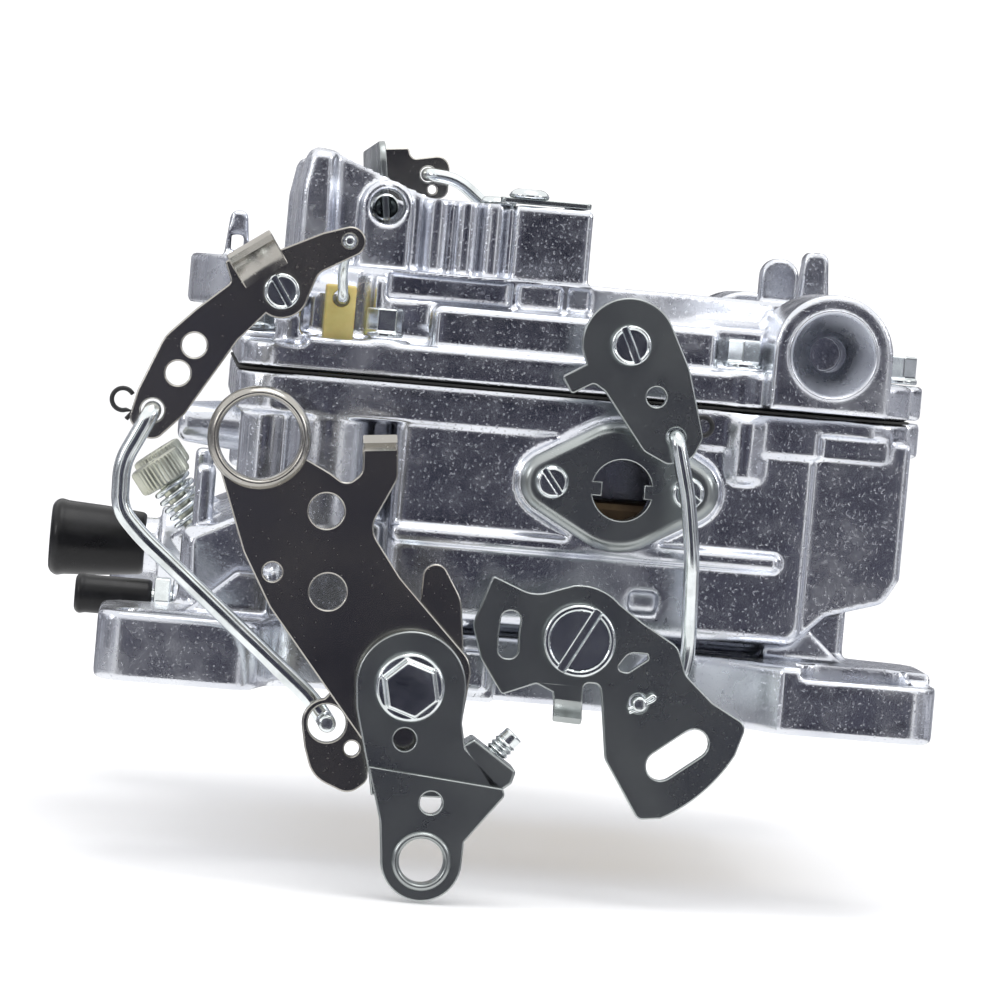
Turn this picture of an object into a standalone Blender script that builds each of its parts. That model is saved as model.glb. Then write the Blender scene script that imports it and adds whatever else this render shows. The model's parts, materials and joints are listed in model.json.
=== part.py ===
"""Four-barrel square-bore carburetor with its throttle, pump, fast-idle and choke linkages.

Frame: X runs along the carburetor, front at -X, rear at +X. Y runs across it, the throttle side at -Y.
Z is up. The origin is the middle of the base flange's bottom face. Numbers below are millimetres,
and the helpers turn them into Blender's metres.
"""
import math

import bmesh
import bpy
from mathutils import Matrix, Vector

MM = 0.001
GAP = 0.3                    # clearance between pieces that touch

# ---------------------------------------------------------------- driving dimensions
FLANGE_T = 12.0              # base flange thickness
EAR_X, EAR_Y = 73.5, 80.0    # outer corner of the four stud ears
STUD_Y = 71.4                # half of the 5-5/8 in stud spacing
STUD_X = (54.0, 65.9)        # slot ends: half of 4-1/4 in and of 5-3/16 in
PRIMARY_X, PRIMARY_R = -19.6, 18.25
SECONDARY_X, SECONDARY_R = 28.5, 21.4
BORE_Y = 24.0                # bore centres, both sides of the middle
SHAFT_Z = 4.5                # throttle shafts' height
SHAFT_R = 4.2
WALL_Y = 71.0                # outer wall of the float bowls
BODY_TOP = 55.3              # joint face of the main body
GASKET_T = 0.6
COVER_Z = BODY_TOP + GASKET_T
COVER_FLANGE_TOP = 62.0
REAR_LUG_X, REAR_LUG_R = 66.5, 4.6   # screw lugs at the rear corners
RING_X, RING_R = 2.5, 65.1   # air-cleaner ring, 5-1/8 in across
RING_Z = (65.8, 75.0)
CHOKE_X, CHOKE_Z = -28.4, 86.0
CHOKE_LEAN = -8.0            # degrees that the open choke plate leans to the front

THROTTLE = (PRIMARY_X, SHAFT_Z)
SECONDARY = (SECONDARY_X, SHAFT_Z)
PUMP_PIVOT = (-46.7, 69.4)
PUMP_ROD_TOP = (-67.0, 47.2)
PUMP_ROD_LOW = (-32.8, -3.6)
PUMP_LINK_TOP = (-35.8, 79.0)
PUMP_LINK_LOW = (-35.8, 69.0)
SECTOR_PIVOT = (9.6, 13.8)
SECTOR_PIN = (21.0, 3.6)
IDLE_PIVOT = (14.1, 65.3)
IDLE_PIN = (23.4, 50.2)
CHOKE_PIN = (-16.0, 95.2)
THERMOSTAT = (18.0, 50.0)
THERMOSTAT_PIN = (30.4, 59.2)
CRANK_PIN = (8.6, -3.1)              # link pin, from either throttle shaft

LAYER_SECTOR = (-81.6, -80.0)        # front and back faces, in Y, of the stamped levers
LAYER_IDLE_LEVER = (-81.6, -80.0)
LAYER_PUMP_LEVER = (-83.6, -82.0)
LAYER_PUMP_ARM = (-88.0, -86.0)
LAYER_THROTTLE = (-92.4, -90.0)
LAYER_FRONT = (-96.4, -94.0)

# ---------------------------------------------------------------- materials
FINISHES = {
    "cast_aluminium": ((0.78, 0.79, 0.82), 0.25, 1.0),
    "zinc_plate": ((0.62, 0.64, 0.62), 0.30, 1.0),
    "bright_steel": ((0.80, 0.82, 0.84), 0.18, 1.0),
    "brass": ((0.72, 0.58, 0.30), 0.28, 1.0),
    "black_rubber": ((0.02, 0.02, 0.02), 0.60, 0.0),
    "black_plastic": ((0.03, 0.03, 0.03), 0.40, 0.0),
    "yellow_nylon": ((0.80, 0.68, 0.25), 0.45, 0.0),
    "gasket_fibre": ((0.05, 0.05, 0.05), 0.80, 0.0),
}


def finish(name):
    """The named Principled material, made on first use."""
    material = bpy.data.materials.get(name)
    if material:
        return material
    colour, roughness, metallic = FINISHES[name]
    material = bpy.data.materials.new(name)
    material.use_nodes = True
    shader = material.node_tree.nodes["Principled BSDF"]
    shader.inputs["Base Color"].default_value = (*colour, 1.0)
    shader.inputs["Roughness"].default_value = roughness
    shader.inputs["Metallic"].default_value = metallic
    return material


# ---------------------------------------------------------------- outlines
def arc(cx, cy, radius, start, end, steps=8):
    """Points on an arc, angles in degrees, both ends included."""
    turn = (end - start) / steps
    angles = [math.radians(start + turn * i) for i in range(steps + 1)]
    return [(cx + radius * math.cos(a), cy + radius * math.sin(a)) for a in angles]


def circle(cx, cy, radius, steps=16):
    return arc(cx, cy, radius, 0.0, 360.0 - 360.0 / steps, steps - 1)


def slot(cx, cy, length, width, angle=0.0, steps=5):
    """A round-ended slot: its whole length and width, turned by angle degrees."""
    reach = (length - width) / 2
    dx, dy = reach * math.cos(math.radians(angle)), reach * math.sin(math.radians(angle))
    right = arc(cx + dx, cy + dy, width / 2, angle - 90, angle + 90, steps)
    left = arc(cx - dx, cy - dy, width / 2, angle + 90, angle + 270, steps)
    return right + left


def outline(corners, step=30.0):
    """A closed outline from corners (a, b) or (a, b, radius); a radius becomes a tangent arc."""
    points = []
    count = len(corners)
    for i, corner in enumerate(corners):
        here = Vector(corner[:2])
        if len(corner) < 3:
            points.append(tuple(here))
            continue
        back = Vector(corners[i - 1][:2]) - here
        ahead = Vector(corners[(i + 1) % count][:2]) - here
        half = back.angle(ahead) / 2
        if half > math.radians(89.0):
            points.append(tuple(here))
            continue
        reach = corner[2] / math.tan(half)
        reach = min(reach, 0.49 * back.length, 0.49 * ahead.length)
        radius = reach * math.tan(half)
        middle = here + (back.normalized() + ahead.normalized()).normalized() * radius / math.sin(half)
        first = here + back.normalized() * reach - middle
        last = here + ahead.normalized() * reach - middle
        turn = math.atan2(first.x * last.y - first.y * last.x, first.dot(last))
        steps = max(1, round(abs(math.degrees(turn)) / step))
        start = math.atan2(first.y, first.x)
        for k in range(steps + 1):
            a = start + turn * k / steps
            points.append((middle.x + radius * math.cos(a), middle.y + radius * math.sin(a)))
    return points


def lever_outline(hub, hub_r, tip, tip_r, steps=6):
    """Two round ends joined by their common tangents."""
    run = Vector(tip) - Vector(hub)
    heading = math.degrees(math.atan2(run.y, run.x))
    lean = math.degrees(math.acos((hub_r - tip_r) / run.length))
    return (arc(*tip, tip_r, heading - lean, heading + lean, steps)
            + arc(*hub, hub_r, heading + lean, heading + 360 - lean, steps + 2))


def box_outline(a0, b0, a1, b1, radius=0.0):
    if radius:
        return outline([(a0, b0, radius), (a1, b0, radius), (a1, b1, radius), (a0, b1, radius)])
    return [(a0, b0), (a1, b0), (a1, b1), (a0, b1)]


def both_sides(corners):
    """Corners of one half of a plan (y below 0), followed by the same corners at +y, going back."""
    return corners + [(c[0], -c[1], *c[2:]) for c in reversed(corners)]


# ---------------------------------------------------------------- solids
def collection(name):
    group = bpy.data.collections.get(name)
    if group is None:
        group = bpy.data.collections.new(name)
        bpy.context.scene.collection.children.link(group)
    return group


def place(name, mesh, material, origin=(0.0, 0.0, 0.0)):
    """Link a mesh built in world millimetres as an object whose origin is at the given point.

    Without a material the object is a tool for Booleans: a wire cutter that does not render.
    """
    mesh.transform(Matrix.Translation(-Vector(origin)))
    mesh.transform(Matrix.Scale(MM, 4))
    obj = bpy.data.objects.new(name, mesh)
    obj.location = Vector(origin) * MM
    if material is None:
        collection("cutters").objects.link(obj)
        obj.hide_render = True
        obj.display_type = "WIRE"
    else:
        mesh.materials.clear()
        mesh.materials.append(finish(material))
        collection("carburetor").objects.link(obj)
        mesh.shade_smooth()
        mesh.set_sharp_from_angle(angle=math.radians(30))
    return obj


AXES = {
    "x": Matrix(((0, 0, 1), (1, 0, 0), (0, 1, 0))).to_4x4(),     # outline (y, z), depth along X
    "y": Matrix(((1, 0, 0), (0, 0, -1), (0, 1, 0))).to_4x4(),    # outline (x, z), depth along -Y
    "z": Matrix.Identity(4),                                     # outline (x, y), depth along Z
}


def curve_mesh(curve):
    """The closed mesh of a curve: evaluated, its caps welded, the curve itself removed."""
    holder = bpy.data.objects.new("curve", curve)
    bpy.context.scene.collection.objects.link(holder)
    graph = bpy.context.evaluated_depsgraph_get()
    mesh = bpy.data.meshes.new_from_object(holder.evaluated_get(graph))
    bpy.data.objects.remove(holder)
    bpy.data.curves.remove(curve)
    work = bmesh.new()
    work.from_mesh(mesh)
    bmesh.ops.remove_doubles(work, verts=work.verts, dist=0.0005)
    bmesh.ops.recalc_face_normals(work, faces=work.faces)
    work.to_mesh(mesh)
    work.free()
    return mesh


def prism(name, material, axis, shapes, low, high, origin=(0, 0, 0)):
    """A flat outline with its holes, from low to high along the axis."""
    curve = bpy.data.curves.new(name, "CURVE")
    curve.dimensions = "2D"
    curve.fill_mode = "BOTH"
    curve.extrude = (high - low) / 2
    for points in shapes:
        spline = curve.splines.new("POLY")
        spline.points.add(len(points) - 1)
        for vertex, (a, b) in zip(spline.points, points):
            vertex.co = (a, b, 0.0, 1.0)
        spline.use_cyclic_u = True
    mesh = curve_mesh(curve)
    middle = (low + high) / 2
    offset = {"x": (middle, 0, 0), "y": (0, middle, 0), "z": (0, 0, middle)}[axis]
    mesh.transform(Matrix.Translation(offset) @ AXES[axis])
    return place(name, mesh, material, origin)


def aim(start, end):
    """The matrix that takes the Z axis to the line from start to end."""
    direction = Vector(end) - Vector(start)
    return Matrix.Translation(start) @ direction.to_track_quat("Z", "Y").to_matrix().to_4x4()


def cylinder(name, material, start, end, radius, top=None, segments=20, origin=(0, 0, 0)):
    """A cylinder, or a cone when top gives the radius at its end."""
    length = (Vector(end) - Vector(start)).length
    work = bmesh.new()
    bmesh.ops.create_cone(work, cap_ends=True, segments=segments, radius1=radius,
                          radius2=radius if top is None else top, depth=length,
                          matrix=Matrix.Translation((0, 0, length / 2)))
    mesh = bpy.data.meshes.new(name)
    work.to_mesh(mesh)
    work.free()
    mesh.transform(aim(start, end))
    return place(name, mesh, material, origin)


def block(name, material, low, high, origin=(0, 0, 0), bevel=0.0):
    """A box between two corners, with rounded edges if bevel is given."""
    size = Vector(high) - Vector(low)
    work = bmesh.new()
    bmesh.ops.create_cube(work, size=1.0)
    bmesh.ops.scale(work, vec=size, verts=work.verts)
    bmesh.ops.translate(work, vec=(Vector(high) + Vector(low)) / 2, verts=work.verts)
    if bevel:
        bmesh.ops.bevel(work, geom=work.edges, offset=bevel, segments=2, profile=0.5, affect="EDGES")
    mesh = bpy.data.meshes.new(name)
    work.to_mesh(mesh)
    work.free()
    return place(name, mesh, material, origin)


def turned(name, material, profile, start, end, segments=20, origin=(0, 0, 0)):
    """A turned piece: profile (radius, height) runs down its outer side, height from start to end."""
    mesh = bpy.data.meshes.new(name)
    work = bmesh.new()
    verts = [work.verts.new((r, 0.0, h)) for r, h in profile]
    for first, second in zip(verts, verts[1:]):
        work.edges.new((first, second))
    work.to_mesh(mesh)
    work.free()
    holder = bpy.data.objects.new(name, mesh)
    bpy.context.scene.collection.objects.link(holder)
    screw = holder.modifiers.new("turn", "SCREW")
    screw.steps = screw.render_steps = segments
    screw.use_merge_vertices = True
    screw.merge_threshold = 0.0001
    graph = bpy.context.evaluated_depsgraph_get()
    solid = bpy.data.meshes.new_from_object(holder.evaluated_get(graph))
    bpy.data.objects.remove(holder)
    solid.transform(aim(start, end))
    return place(name, solid, material, origin)


def wire(name, material, points, radius, origin=(0, 0, 0)):
    """Round wire along a poly line."""
    curve = bpy.data.curves.new(name, "CURVE")
    curve.dimensions = "3D"
    curve.bevel_depth = radius
    curve.bevel_resolution = 2
    curve.use_fill_caps = True
    spline = curve.splines.new("POLY")
    spline.points.add(len(points) - 1)
    for vertex, point in zip(spline.points, points):
        vertex.co = (*point, 1.0)
    return place(name, curve_mesh(curve), material, origin)


def bend(points, radius, steps=3):
    """A poly line whose inner corners are rounded, for wires."""
    route = [Vector(points[0])]
    for before, here, after in zip(points, points[1:], points[2:]):
        here = Vector(here)
        back = (Vector(before) - here)
        ahead = (Vector(after) - here)
        reach = min(radius, 0.45 * back.length, 0.45 * ahead.length)
        first = here + back.normalized() * reach
        last = here + ahead.normalized() * reach
        for k in range(steps + 1):
            t = k / steps
            route.append((1 - t) ** 2 * first + 2 * t * (1 - t) * here + t ** 2 * last)
    route.append(Vector(points[-1]))
    return [tuple(p) for p in route]


def boolean(target, tool, operation):
    modifier = target.modifiers.new(tool.name, "BOOLEAN")
    modifier.operation = operation
    modifier.object = tool
    modifier.solver = "EXACT"


def add(target, *tools):
    for tool in tools:
        boolean(target, tool, "UNION")


def cut(target, *tools):
    for tool in tools:
        boolean(target, tool, "DIFFERENCE")


def sides():
    return (("left", -1.0), ("right", 1.0))


def across(side, near, far):
    """The lower and the upper Y of a span that runs from near to far on one side of the middle."""
    return sorted((side * near, side * far))


# ---------------------------------------------------------------- castings
def body_plan():
    """Plan of the joint between the main body and the air horn."""
    return outline(both_sides([(-53.0, -20.0), (-53.0, -WALL_Y, 8), (66.5, -WALL_Y, 9)]))


def flange_plan():
    """Plan of the base flange: four stud ears, drawn in between them."""
    return outline(both_sides([
        (-56.0, -46.0, 3), (-EAR_X, -50.0, 6), (-EAR_X, -EAR_Y, 11), (-46.0, -EAR_Y, 9),
        (-43.5, -64.0, 6), (43.5, -64.0, 6), (46.0, -EAR_Y, 9), (EAR_X, -EAR_Y, 11), (EAR_X, -50.0, 6),
        (60.0, -46.0, 3)]))


def main_body():
    """The lower casting: base flange, throttle bores, float bowls and pump well."""
    body = prism("main_body", "cast_aluminium", "z", [flange_plan()], 0.0, FLANGE_T)
    add(body,
        prism("throttle_block", None, "y",
              [outline([(-58, 6), (60, 6), (60, 34), (-48, 34), (-50, 29), (-59, 24.5, 2)])], -52, 52),
        prism("bowl_block", None, "y",
              [outline([(-24.5, 17.5, 2), (-21, 14.5), (48, 14.5, 2), (54, 20.5, 1), (64, 23.5, 3),
                        (66.5, 28, 2), (66.5, 50), (-24.5, 50)])], -WALL_Y, WALL_Y),
        prism("front_block", None, "z", [outline(both_sides([(-50, -20), (-50, -54, 6), (-20, -58)]))],
              30.0, 50.0),
        prism("joint_rim", None, "z", [body_plan()], 47.5, BODY_TOP))
    for name, side in sides():
        add(body,
            cylinder("pump_well_" + name, None, (-36, side * 62.5, 28), (-36, side * 62.5, 50), 8.2),
            cylinder("rear_lug_" + name, None, (REAR_LUG_X, side * 45, 50), (REAR_LUG_X, side * 45, BODY_TOP),
                     REAR_LUG_R),
            cylinder("cover_boss_" + name, None, (36.5, side * 65, 42), (36.5, side * 65, 54), 4.6),
            cylinder("shaft_boss_" + name, None, (PRIMARY_X, side * 40, SHAFT_Z),
                     (PRIMARY_X, side * 65.5, SHAFT_Z), 7.6),
            cylinder("rear_shaft_boss_" + name, None, (SECONDARY_X, side * 40, SHAFT_Z),
                     (SECONDARY_X, side * 65.5, SHAFT_Z), 7.6))
        for direction in (-1, 1):
            web = [(direction * 44, 10), (direction * 61, 10), (direction * 50, 20.5), (direction * 44, 20.5)]
            add(body, prism(f"ear_web_{name}_{direction}", None, "y",
                            [web], *across(side, 56.0, 64.0)))
    add(body,
        cylinder("sector_boss", None, (SECTOR_PIVOT[0], -60, SECTOR_PIVOT[1]),
                 (SECTOR_PIVOT[0], -79.6, SECTOR_PIVOT[1]), 4.6),
        cylinder("large_port", None, (-56, 0, 19.4), (-80, 0, 19.4), 5.0),
        cylinder("small_port_root", None, (-52, -30, 11.2), (-60.9, -30, 11.2), 4.0),
        cylinder("large_port_root", None, (-52, 0, 19.4), (-64, 0, 19.4), 7.5),
        prism("choke_foot", None, "y", [box_outline(2, 27, 34, 37, 3)], 60, 78.7),
        prism("side_pad", None, "y", [diamond(0.6)], -WALL_Y - 0.8, -60))
    cut_body(body)
    return body


def cut_body(body):
    """Bores, bowls and drillings of the main body."""
    for name, side in sides():
        y = side * BORE_Y
        slot_near, slot_far = across(side, 40, 47)
        rear_near, rear_far = across(side, 43, 50)
        bowl_near, bowl_far = across(side, 51.5, 68)
        cut(body,
            cylinder("primary_bore_" + name, None, (PRIMARY_X, y, -5), (PRIMARY_X, y, 60), PRIMARY_R,
                     segments=32),
            cylinder("secondary_bore_" + name, None, (SECONDARY_X, y, -5), (SECONDARY_X, y, 60),
                     SECONDARY_R, segments=32),
            block("primary_pocket_" + name, None, (PRIMARY_X - 4.5, slot_near, 38),
                  (PRIMARY_X + 4.5, slot_far, 60)),
            block("secondary_pocket_" + name, None, (SECONDARY_X - 4.5, rear_near, 30),
                  (SECONDARY_X + 4.5, rear_far, 60)),
            prism("bowl_" + name, None, "z", [box_outline(-21.5, bowl_near, 62.5, bowl_far, 4)], 19.0, 60.0),
            prism("ear_slot_front_" + name, None, "z",
                  [slot(-sum(STUD_X) / 2, side * STUD_Y, STUD_X[1] - STUD_X[0] + 8, 8.4)], -5, 30),
            prism("ear_slot_rear_" + name, None, "z",
                  [slot(sum(STUD_X) / 2, side * STUD_Y, STUD_X[1] - STUD_X[0] + 8, 8.4)], -5, 30),
            cylinder("mixture_hole_" + name, None, mixture_point(side, 4.0), mixture_point(side, 20.0), 2.4,
                     segments=12))
    cut(body,
        cylinder("primary_shaft_bore", None, (PRIMARY_X, -90, SHAFT_Z), (PRIMARY_X, 90, SHAFT_Z),
                 SHAFT_R + GAP),
        cylinder("secondary_shaft_bore", None, (SECONDARY_X, -58, SHAFT_Z), (SECONDARY_X, 90, SHAFT_Z),
                 SHAFT_R + GAP),
        cylinder("air_valve_bore", None, (SECONDARY_X, -48, 51.0), (SECONDARY_X, 48, 51.0), 2.3,
                 segments=12),
        cylinder("pump_well_bore", None, (-36, -62.5, 32), (-36, -62.5, 60), 5.4),
        cylinder("large_port_bore", None, (-90, 0, 19.4), (-50, 0, 19.4), 3.6, segments=12),
        cylinder("small_port_bore", None, (-70, -30, 11.2), (-48, -30, 11.2), 2.2, segments=12),
        cylinder("sector_screw_bore", None, (SECTOR_PIVOT[0], -90, SECTOR_PIVOT[1]),
                 (SECTOR_PIVOT[0], -72.5, SECTOR_PIVOT[1]), 2.6, segments=12),
        cylinder("side_passage", None, (15.6, -80, 39.9), (15.6, -60, 39.9), 5.4),
        block("notch_floor", None, (-3, -90, -1), (9, -58, 2.2)))
    for x in (3.2, 27.0):
        cut(body, cylinder(f"side_screw_bore_{x}", None, (x, -80, 40.4), (x, -67.5, 40.4), 1.9, segments=10))


def diamond(grow=0.0):
    """Outline of the two-screw side plate, grown evenly for the cast pad under it."""
    g = grow
    left, right = (3.4, 40.2), (27.0, 40.6)
    middle = (15.1, 40.4)
    return (arc(*left, 5.6 + g, 118, 242, 5) + arc(middle[0], middle[1], 11.4 + g, 242, 298, 4)
            + arc(*right, 5.6 + g, -62, 62, 5) + arc(middle[0], middle[1], 11.4 + g, 62, 118, 4))


def mixture_point(side, distance):
    """A point on an idle mixture screw's axis, measured down from its head's top."""
    return (-66.4 + 0.605 * distance, side * 22.0, 36.2 - 0.797 * distance)


def air_horn():
    """The upper casting: cover flange, air-cleaner ring, choke tower and fuel inlets."""
    horn = prism("air_horn", "cast_aluminium", "z", [body_plan()], COVER_Z, COVER_FLANGE_TOP)
    tower = outline([(-44, 60), (-43.8, 88), (-42.6, 95.3, 1.5), (-36.5, 94.6), (-20, 88.4), (8.8, 88.4, 1),
                     (8.8, 60)])
    add(horn,
        cylinder("ring", None, (RING_X, 0, RING_Z[0]), (RING_X, 0, RING_Z[1]), RING_R, segments=64),
        prism("cover_dome", None, "z", [box_outline(-44, -61, 52, 61, 12)], 58, 70),
        prism("choke_tower", None, "y", [tower], -46, 46),
        prism("shaft_housing", None, "y",
              [outline([(-34, 60), (-23, 60), (-23, 91, 4.5), (-34, 91, 4.5)])], 40, 61))
    inlet = [(60.5, 56.4)] + arc(49.9, 66.6, 10.6, 0, 180, 10) + [(39.3, 56.4)]
    for name, side in sides():
        add(horn,
            prism("fuel_inlet_" + name, None, "y", [inlet], *across(side, 52.0, 79.0)),
            cylinder("rear_lug_" + name, None, (REAR_LUG_X, side * 45, COVER_Z),
                     (REAR_LUG_X, side * 45, COVER_FLANGE_TOP), REAR_LUG_R),
            cylinder("screw_boss_front_" + name, None, (-28, side * 66, 57), (-28, side * 66, 62.6), 4.8),
            cylinder("screw_boss_middle_" + name, None, (36, side * 66, 57), (36, side * 66, 62.6), 4.8))
    add(horn,
        cylinder("pump_pivot_boss", None, (PUMP_PIVOT[0], -50, PUMP_PIVOT[1]),
                 (PUMP_PIVOT[0], -81.7, PUMP_PIVOT[1]), 4.6),
        cylinder("idle_pivot_boss", None, (IDLE_PIVOT[0], -50, IDLE_PIVOT[1]),
                 (IDLE_PIVOT[0], -79.7, IDLE_PIVOT[1]), 5.2),
        prism("tab_front", None, "y",
              [outline([(-56.5, 73), (-51.5, 73), (-52.5, 83.8, 1.2), (-56, 83.4, 1.2)])], 8, 20),
        prism("tab_rear_round", None, "y",
              [outline([(48.8, 73), (56.4, 73), (56.4, 83.9, 3.7), (48.8, 83.9, 3.7)])], 28, 33),
        prism("tab_rear", None, "y",
              [outline([(52.4, 73), (58.8, 73), (57.8, 85.2, 1.5), (53.4, 85.2, 1.5)])], -2, 4))
    cut_horn(horn)
    return horn


def cut_horn(horn):
    """Air openings, shaft bore and drillings of the air horn."""
    cut(horn,
        prism("choke_throat", None, "z", [box_outline(-41.3, -42, 4.5, 42, 5)], 50, 100),
        prism("secondary_throat", None, "z", [box_outline(8.9, -43, 48.4, 43, 8)], 50, 100),
        cylinder("choke_shaft_bore", None, (CHOKE_X, -60, CHOKE_Z), (CHOKE_X, 70, CHOKE_Z), 2.8, segments=16),
        cylinder("plunger_hole", None, (-36, -62.5, 50), (-36, -62.5, 90), 4.4, segments=16),
        cylinder("pump_screw_bore", None, (PUMP_PIVOT[0], -90, PUMP_PIVOT[1]),
                 (PUMP_PIVOT[0], -74, PUMP_PIVOT[1]), 2.3, segments=12),
        cylinder("idle_screw_bore", None, (IDLE_PIVOT[0], -90, IDLE_PIVOT[1]),
                 (IDLE_PIVOT[0], -72, IDLE_PIVOT[1]), 2.3, segments=12))
    for name, side in sides():
        cut(horn,
            cylinder("inlet_cone_" + name, None, (49.9, side * 79.2, 66.6), (49.9, side * 73.0, 66.6), 7.2,
                     top=4.6, segments=24),
            cylinder("inlet_bore_" + name, None, (49.9, side * 74.0, 66.6), (49.9, side * 60.0, 66.6), 3.0,
                     segments=16))


def cover_gasket():
    """Thin sheet between the castings, open over the bores and the bowls."""
    shapes = [body_plan(), box_outline(-42, -45.5, 5.2, 45.5, 6), box_outline(8.4, -46, 53, 46, 6)]
    for _, side in sides():
        low, high = across(side, 51.5, 68)
        shapes.append(box_outline(-21.5, low, 62.5, high, 4))
    shapes.append(circle(-36, -62.5, 5.4))
    prism("cover_gasket", "gasket_fibre", "z", shapes, BODY_TOP + 0.1, COVER_Z - 0.1)


# ---------------------------------------------------------------- fixed small pieces
def cover_screws():
    """Eight flanged hex screws that hold the air horn down."""
    places = [(-28, 66), (35.6, 66), (REAR_LUG_X, 45), (-50, 46)]
    number = 0
    for x, y in places:
        for side in (-1, 1):
            number += 1
            base = 62.9 if y == 66 else COVER_FLANGE_TOP + GAP
            seat = (x, side * y, base)
            screw = cylinder(f"cover_screw_{number}", "bright_steel", seat, (x, side * y, base + 5.0), 3.3,
                             segments=6)
            add(screw, cylinder(f"screw_flange_{number}", None, seat, (x, side * y, base + 1.0), 3.5,
                                segments=16))


def side_plate():
    """The stamped two-screw plate on the bowl wall, with its keyed opening."""
    opening = (arc(15.6, 39.9, 5.3, 14, 166, 8) + [(12.1, 41.2), (12.1, 38.6)]
               + arc(15.6, 39.9, 5.3, 194, 346, 8) + [(19.4, 38.6), (19.4, 41.2)])
    prism("side_plate", "zinc_plate", "y",
          [diamond(), opening, circle(3.2, 40.4, 2.0, 12), circle(27.0, 40.4, 2.0, 12)], -74.2, -WALL_Y - 1.1)
    for number, x in enumerate((3.2, 27.0), 1):
        head_screw(f"side_plate_screw_{number}", (x, 40.4), -74.5, 2.9, 1.7, 1.5, 4.5)


def head_screw(name, centre, seat, head_r, head_h, shank_r, shank_l, segments=16):
    """A slotted screw pointing into +Y: its head's flat underside is at seat."""
    x, z = centre
    profile = [(0, shank_l), (shank_r, shank_l), (shank_r, 0), (head_r, 0), (head_r, -head_h * 0.6),
               (head_r * 0.82, -head_h), (0, -head_h)]
    screw = turned(name, "bright_steel", profile, (x, seat, z), (x, seat + 1, z), segments)
    cut(screw, block(name + "_slot", None, (x - head_r * 1.2, seat - head_h - 1, z - head_r * 0.13),
                     (x + head_r * 1.2, seat - head_h * 0.45, z + head_r * 0.13)))
    return screw


def vacuum_fittings():
    """Two rubber caps and the small hex fitting on the front face."""
    turned("vacuum_cap_large", "black_rubber",
           [(0, 27.6), (6.4, 27.6), (7.3, 26.5), (6.9, 17.5), (5.9, 9.6), (5.3, 9.6), (5.3, 25.2), (0, 25.2)],
           (-57, 0, 19.4), (-58, 0, 19.4), 20)
    turned("vacuum_cap_small", "black_rubber",
           [(0, 19.6), (3.2, 19.6), (3.8, 18.9), (3.6, 5.6), (2.3, 5.6), (2.3, 16.5), (0, 16.5)],
           (-59, -30, 11.2), (-60, -30, 11.2), 16)
    fitting = cylinder("vacuum_fitting", "brass", (-64.2, -30, 11.2), (-61.2, -30, 11.2), 4.6, segments=6)
    add(fitting, cylinder("fitting_spigot", None, (-75, -30, 11.2), (-52, -30, 11.2), 1.9, segments=12))


def pivot_screws():
    """The three shoulder screws that the fast-idle and pump levers turn on."""
    head_screw("sector_pivot_screw", SECTOR_PIVOT, -82.1, 6.3, 2.6, 2.2, 9.3, 24)
    head_screw("idle_lever_pivot_screw", IDLE_PIVOT, -82.0, 3.5, 2.0, 2.0, 9.5)
    head_screw("pump_lever_pivot_screw", PUMP_PIVOT, -84.0, 3.1, 2.0, 2.0, 9.5)


def boosters():
    """A venturi ring with its arm for each bore."""
    for pair, x, reach, z in (("primary", PRIMARY_X, 46.5, 38.4), ("secondary", SECONDARY_X, 49.5, 30.4)):
        for name, side in sides():
            y = side * BORE_Y
            ring = cylinder(f"booster_{pair}_{name}", "zinc_plate", (x, y, z), (x, y, z + 11), 7.5,
                            segments=20)
            low, high = across(side, BORE_Y + 6.0, reach)
            add(ring, block(f"booster_arm_{pair}_{name}", None, (x - 4.1, low, z), (x + 4.1, high, z + 7)))
            cut(ring, cylinder(f"booster_bore_{pair}_{name}", None, (x, y, z - 1), (x, y, z + 12), 5.2,
                               segments=20))


def step_up_covers():
    """The two small plates over the metering rod wells, on top of the choke tower."""
    for name, side in sides():
        corners = [(4.8, 27.0), (8.4, 27.0), (8.4, 45.0), (-8.0, 45.0), (-8.0, 41.6), (4.8, 41.6)]
        prism("step_up_cover_" + name, "zinc_plate", "z", [[(x, side * y) for x, y in corners]], 88.7, 89.7)


def pump_nozzle():
    """The accelerator pump's discharge nozzle, between the primary bores and below the choke plate's swing."""
    x, z = PRIMARY_X, BODY_TOP
    nozzle = block("pump_nozzle", "zinc_plate", (-23, -4.5, z + 1.0), (-15, 4.5, z + 6.0), bevel=1.0)
    add(nozzle, cylinder("nozzle_arms", None, (x, -13, z + 3.5), (x, 13, z + 3.5), 1.4, segments=10),
        cylinder("nozzle_foot", None, (x, 0, z + 0.3), (x, 0, z + 3), 3.0, segments=12))


def choke_thermostat():
    """The electric choke on the far side: metal housing and black cap."""
    x, z = THERMOSTAT
    housing = turned("choke_housing", "cast_aluminium",
                     [(0, 11), (20, 11), (21.5, 9.5), (21.5, 0), (0, 0)], (x, 79.0, z), (x, 80.0, z), 32)
    cut(housing, cylinder("housing_cup", None, (x, 82, z), (x, 95, z), 18.5, segments=32),
        cylinder("housing_bush", None, (x, 78, z), (x, 84, z), 2.5, segments=12))
    turned("choke_cap", "black_plastic",
           [(0, 9.5), (14, 9.5), (15.5, 8.5), (15.5, 5), (21.5, 5), (22, 4.4), (22, 0.8), (21.2, 0),
            (0, 0)], (x, 90.4, z), (x, 91.4, z), 32)


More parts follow.
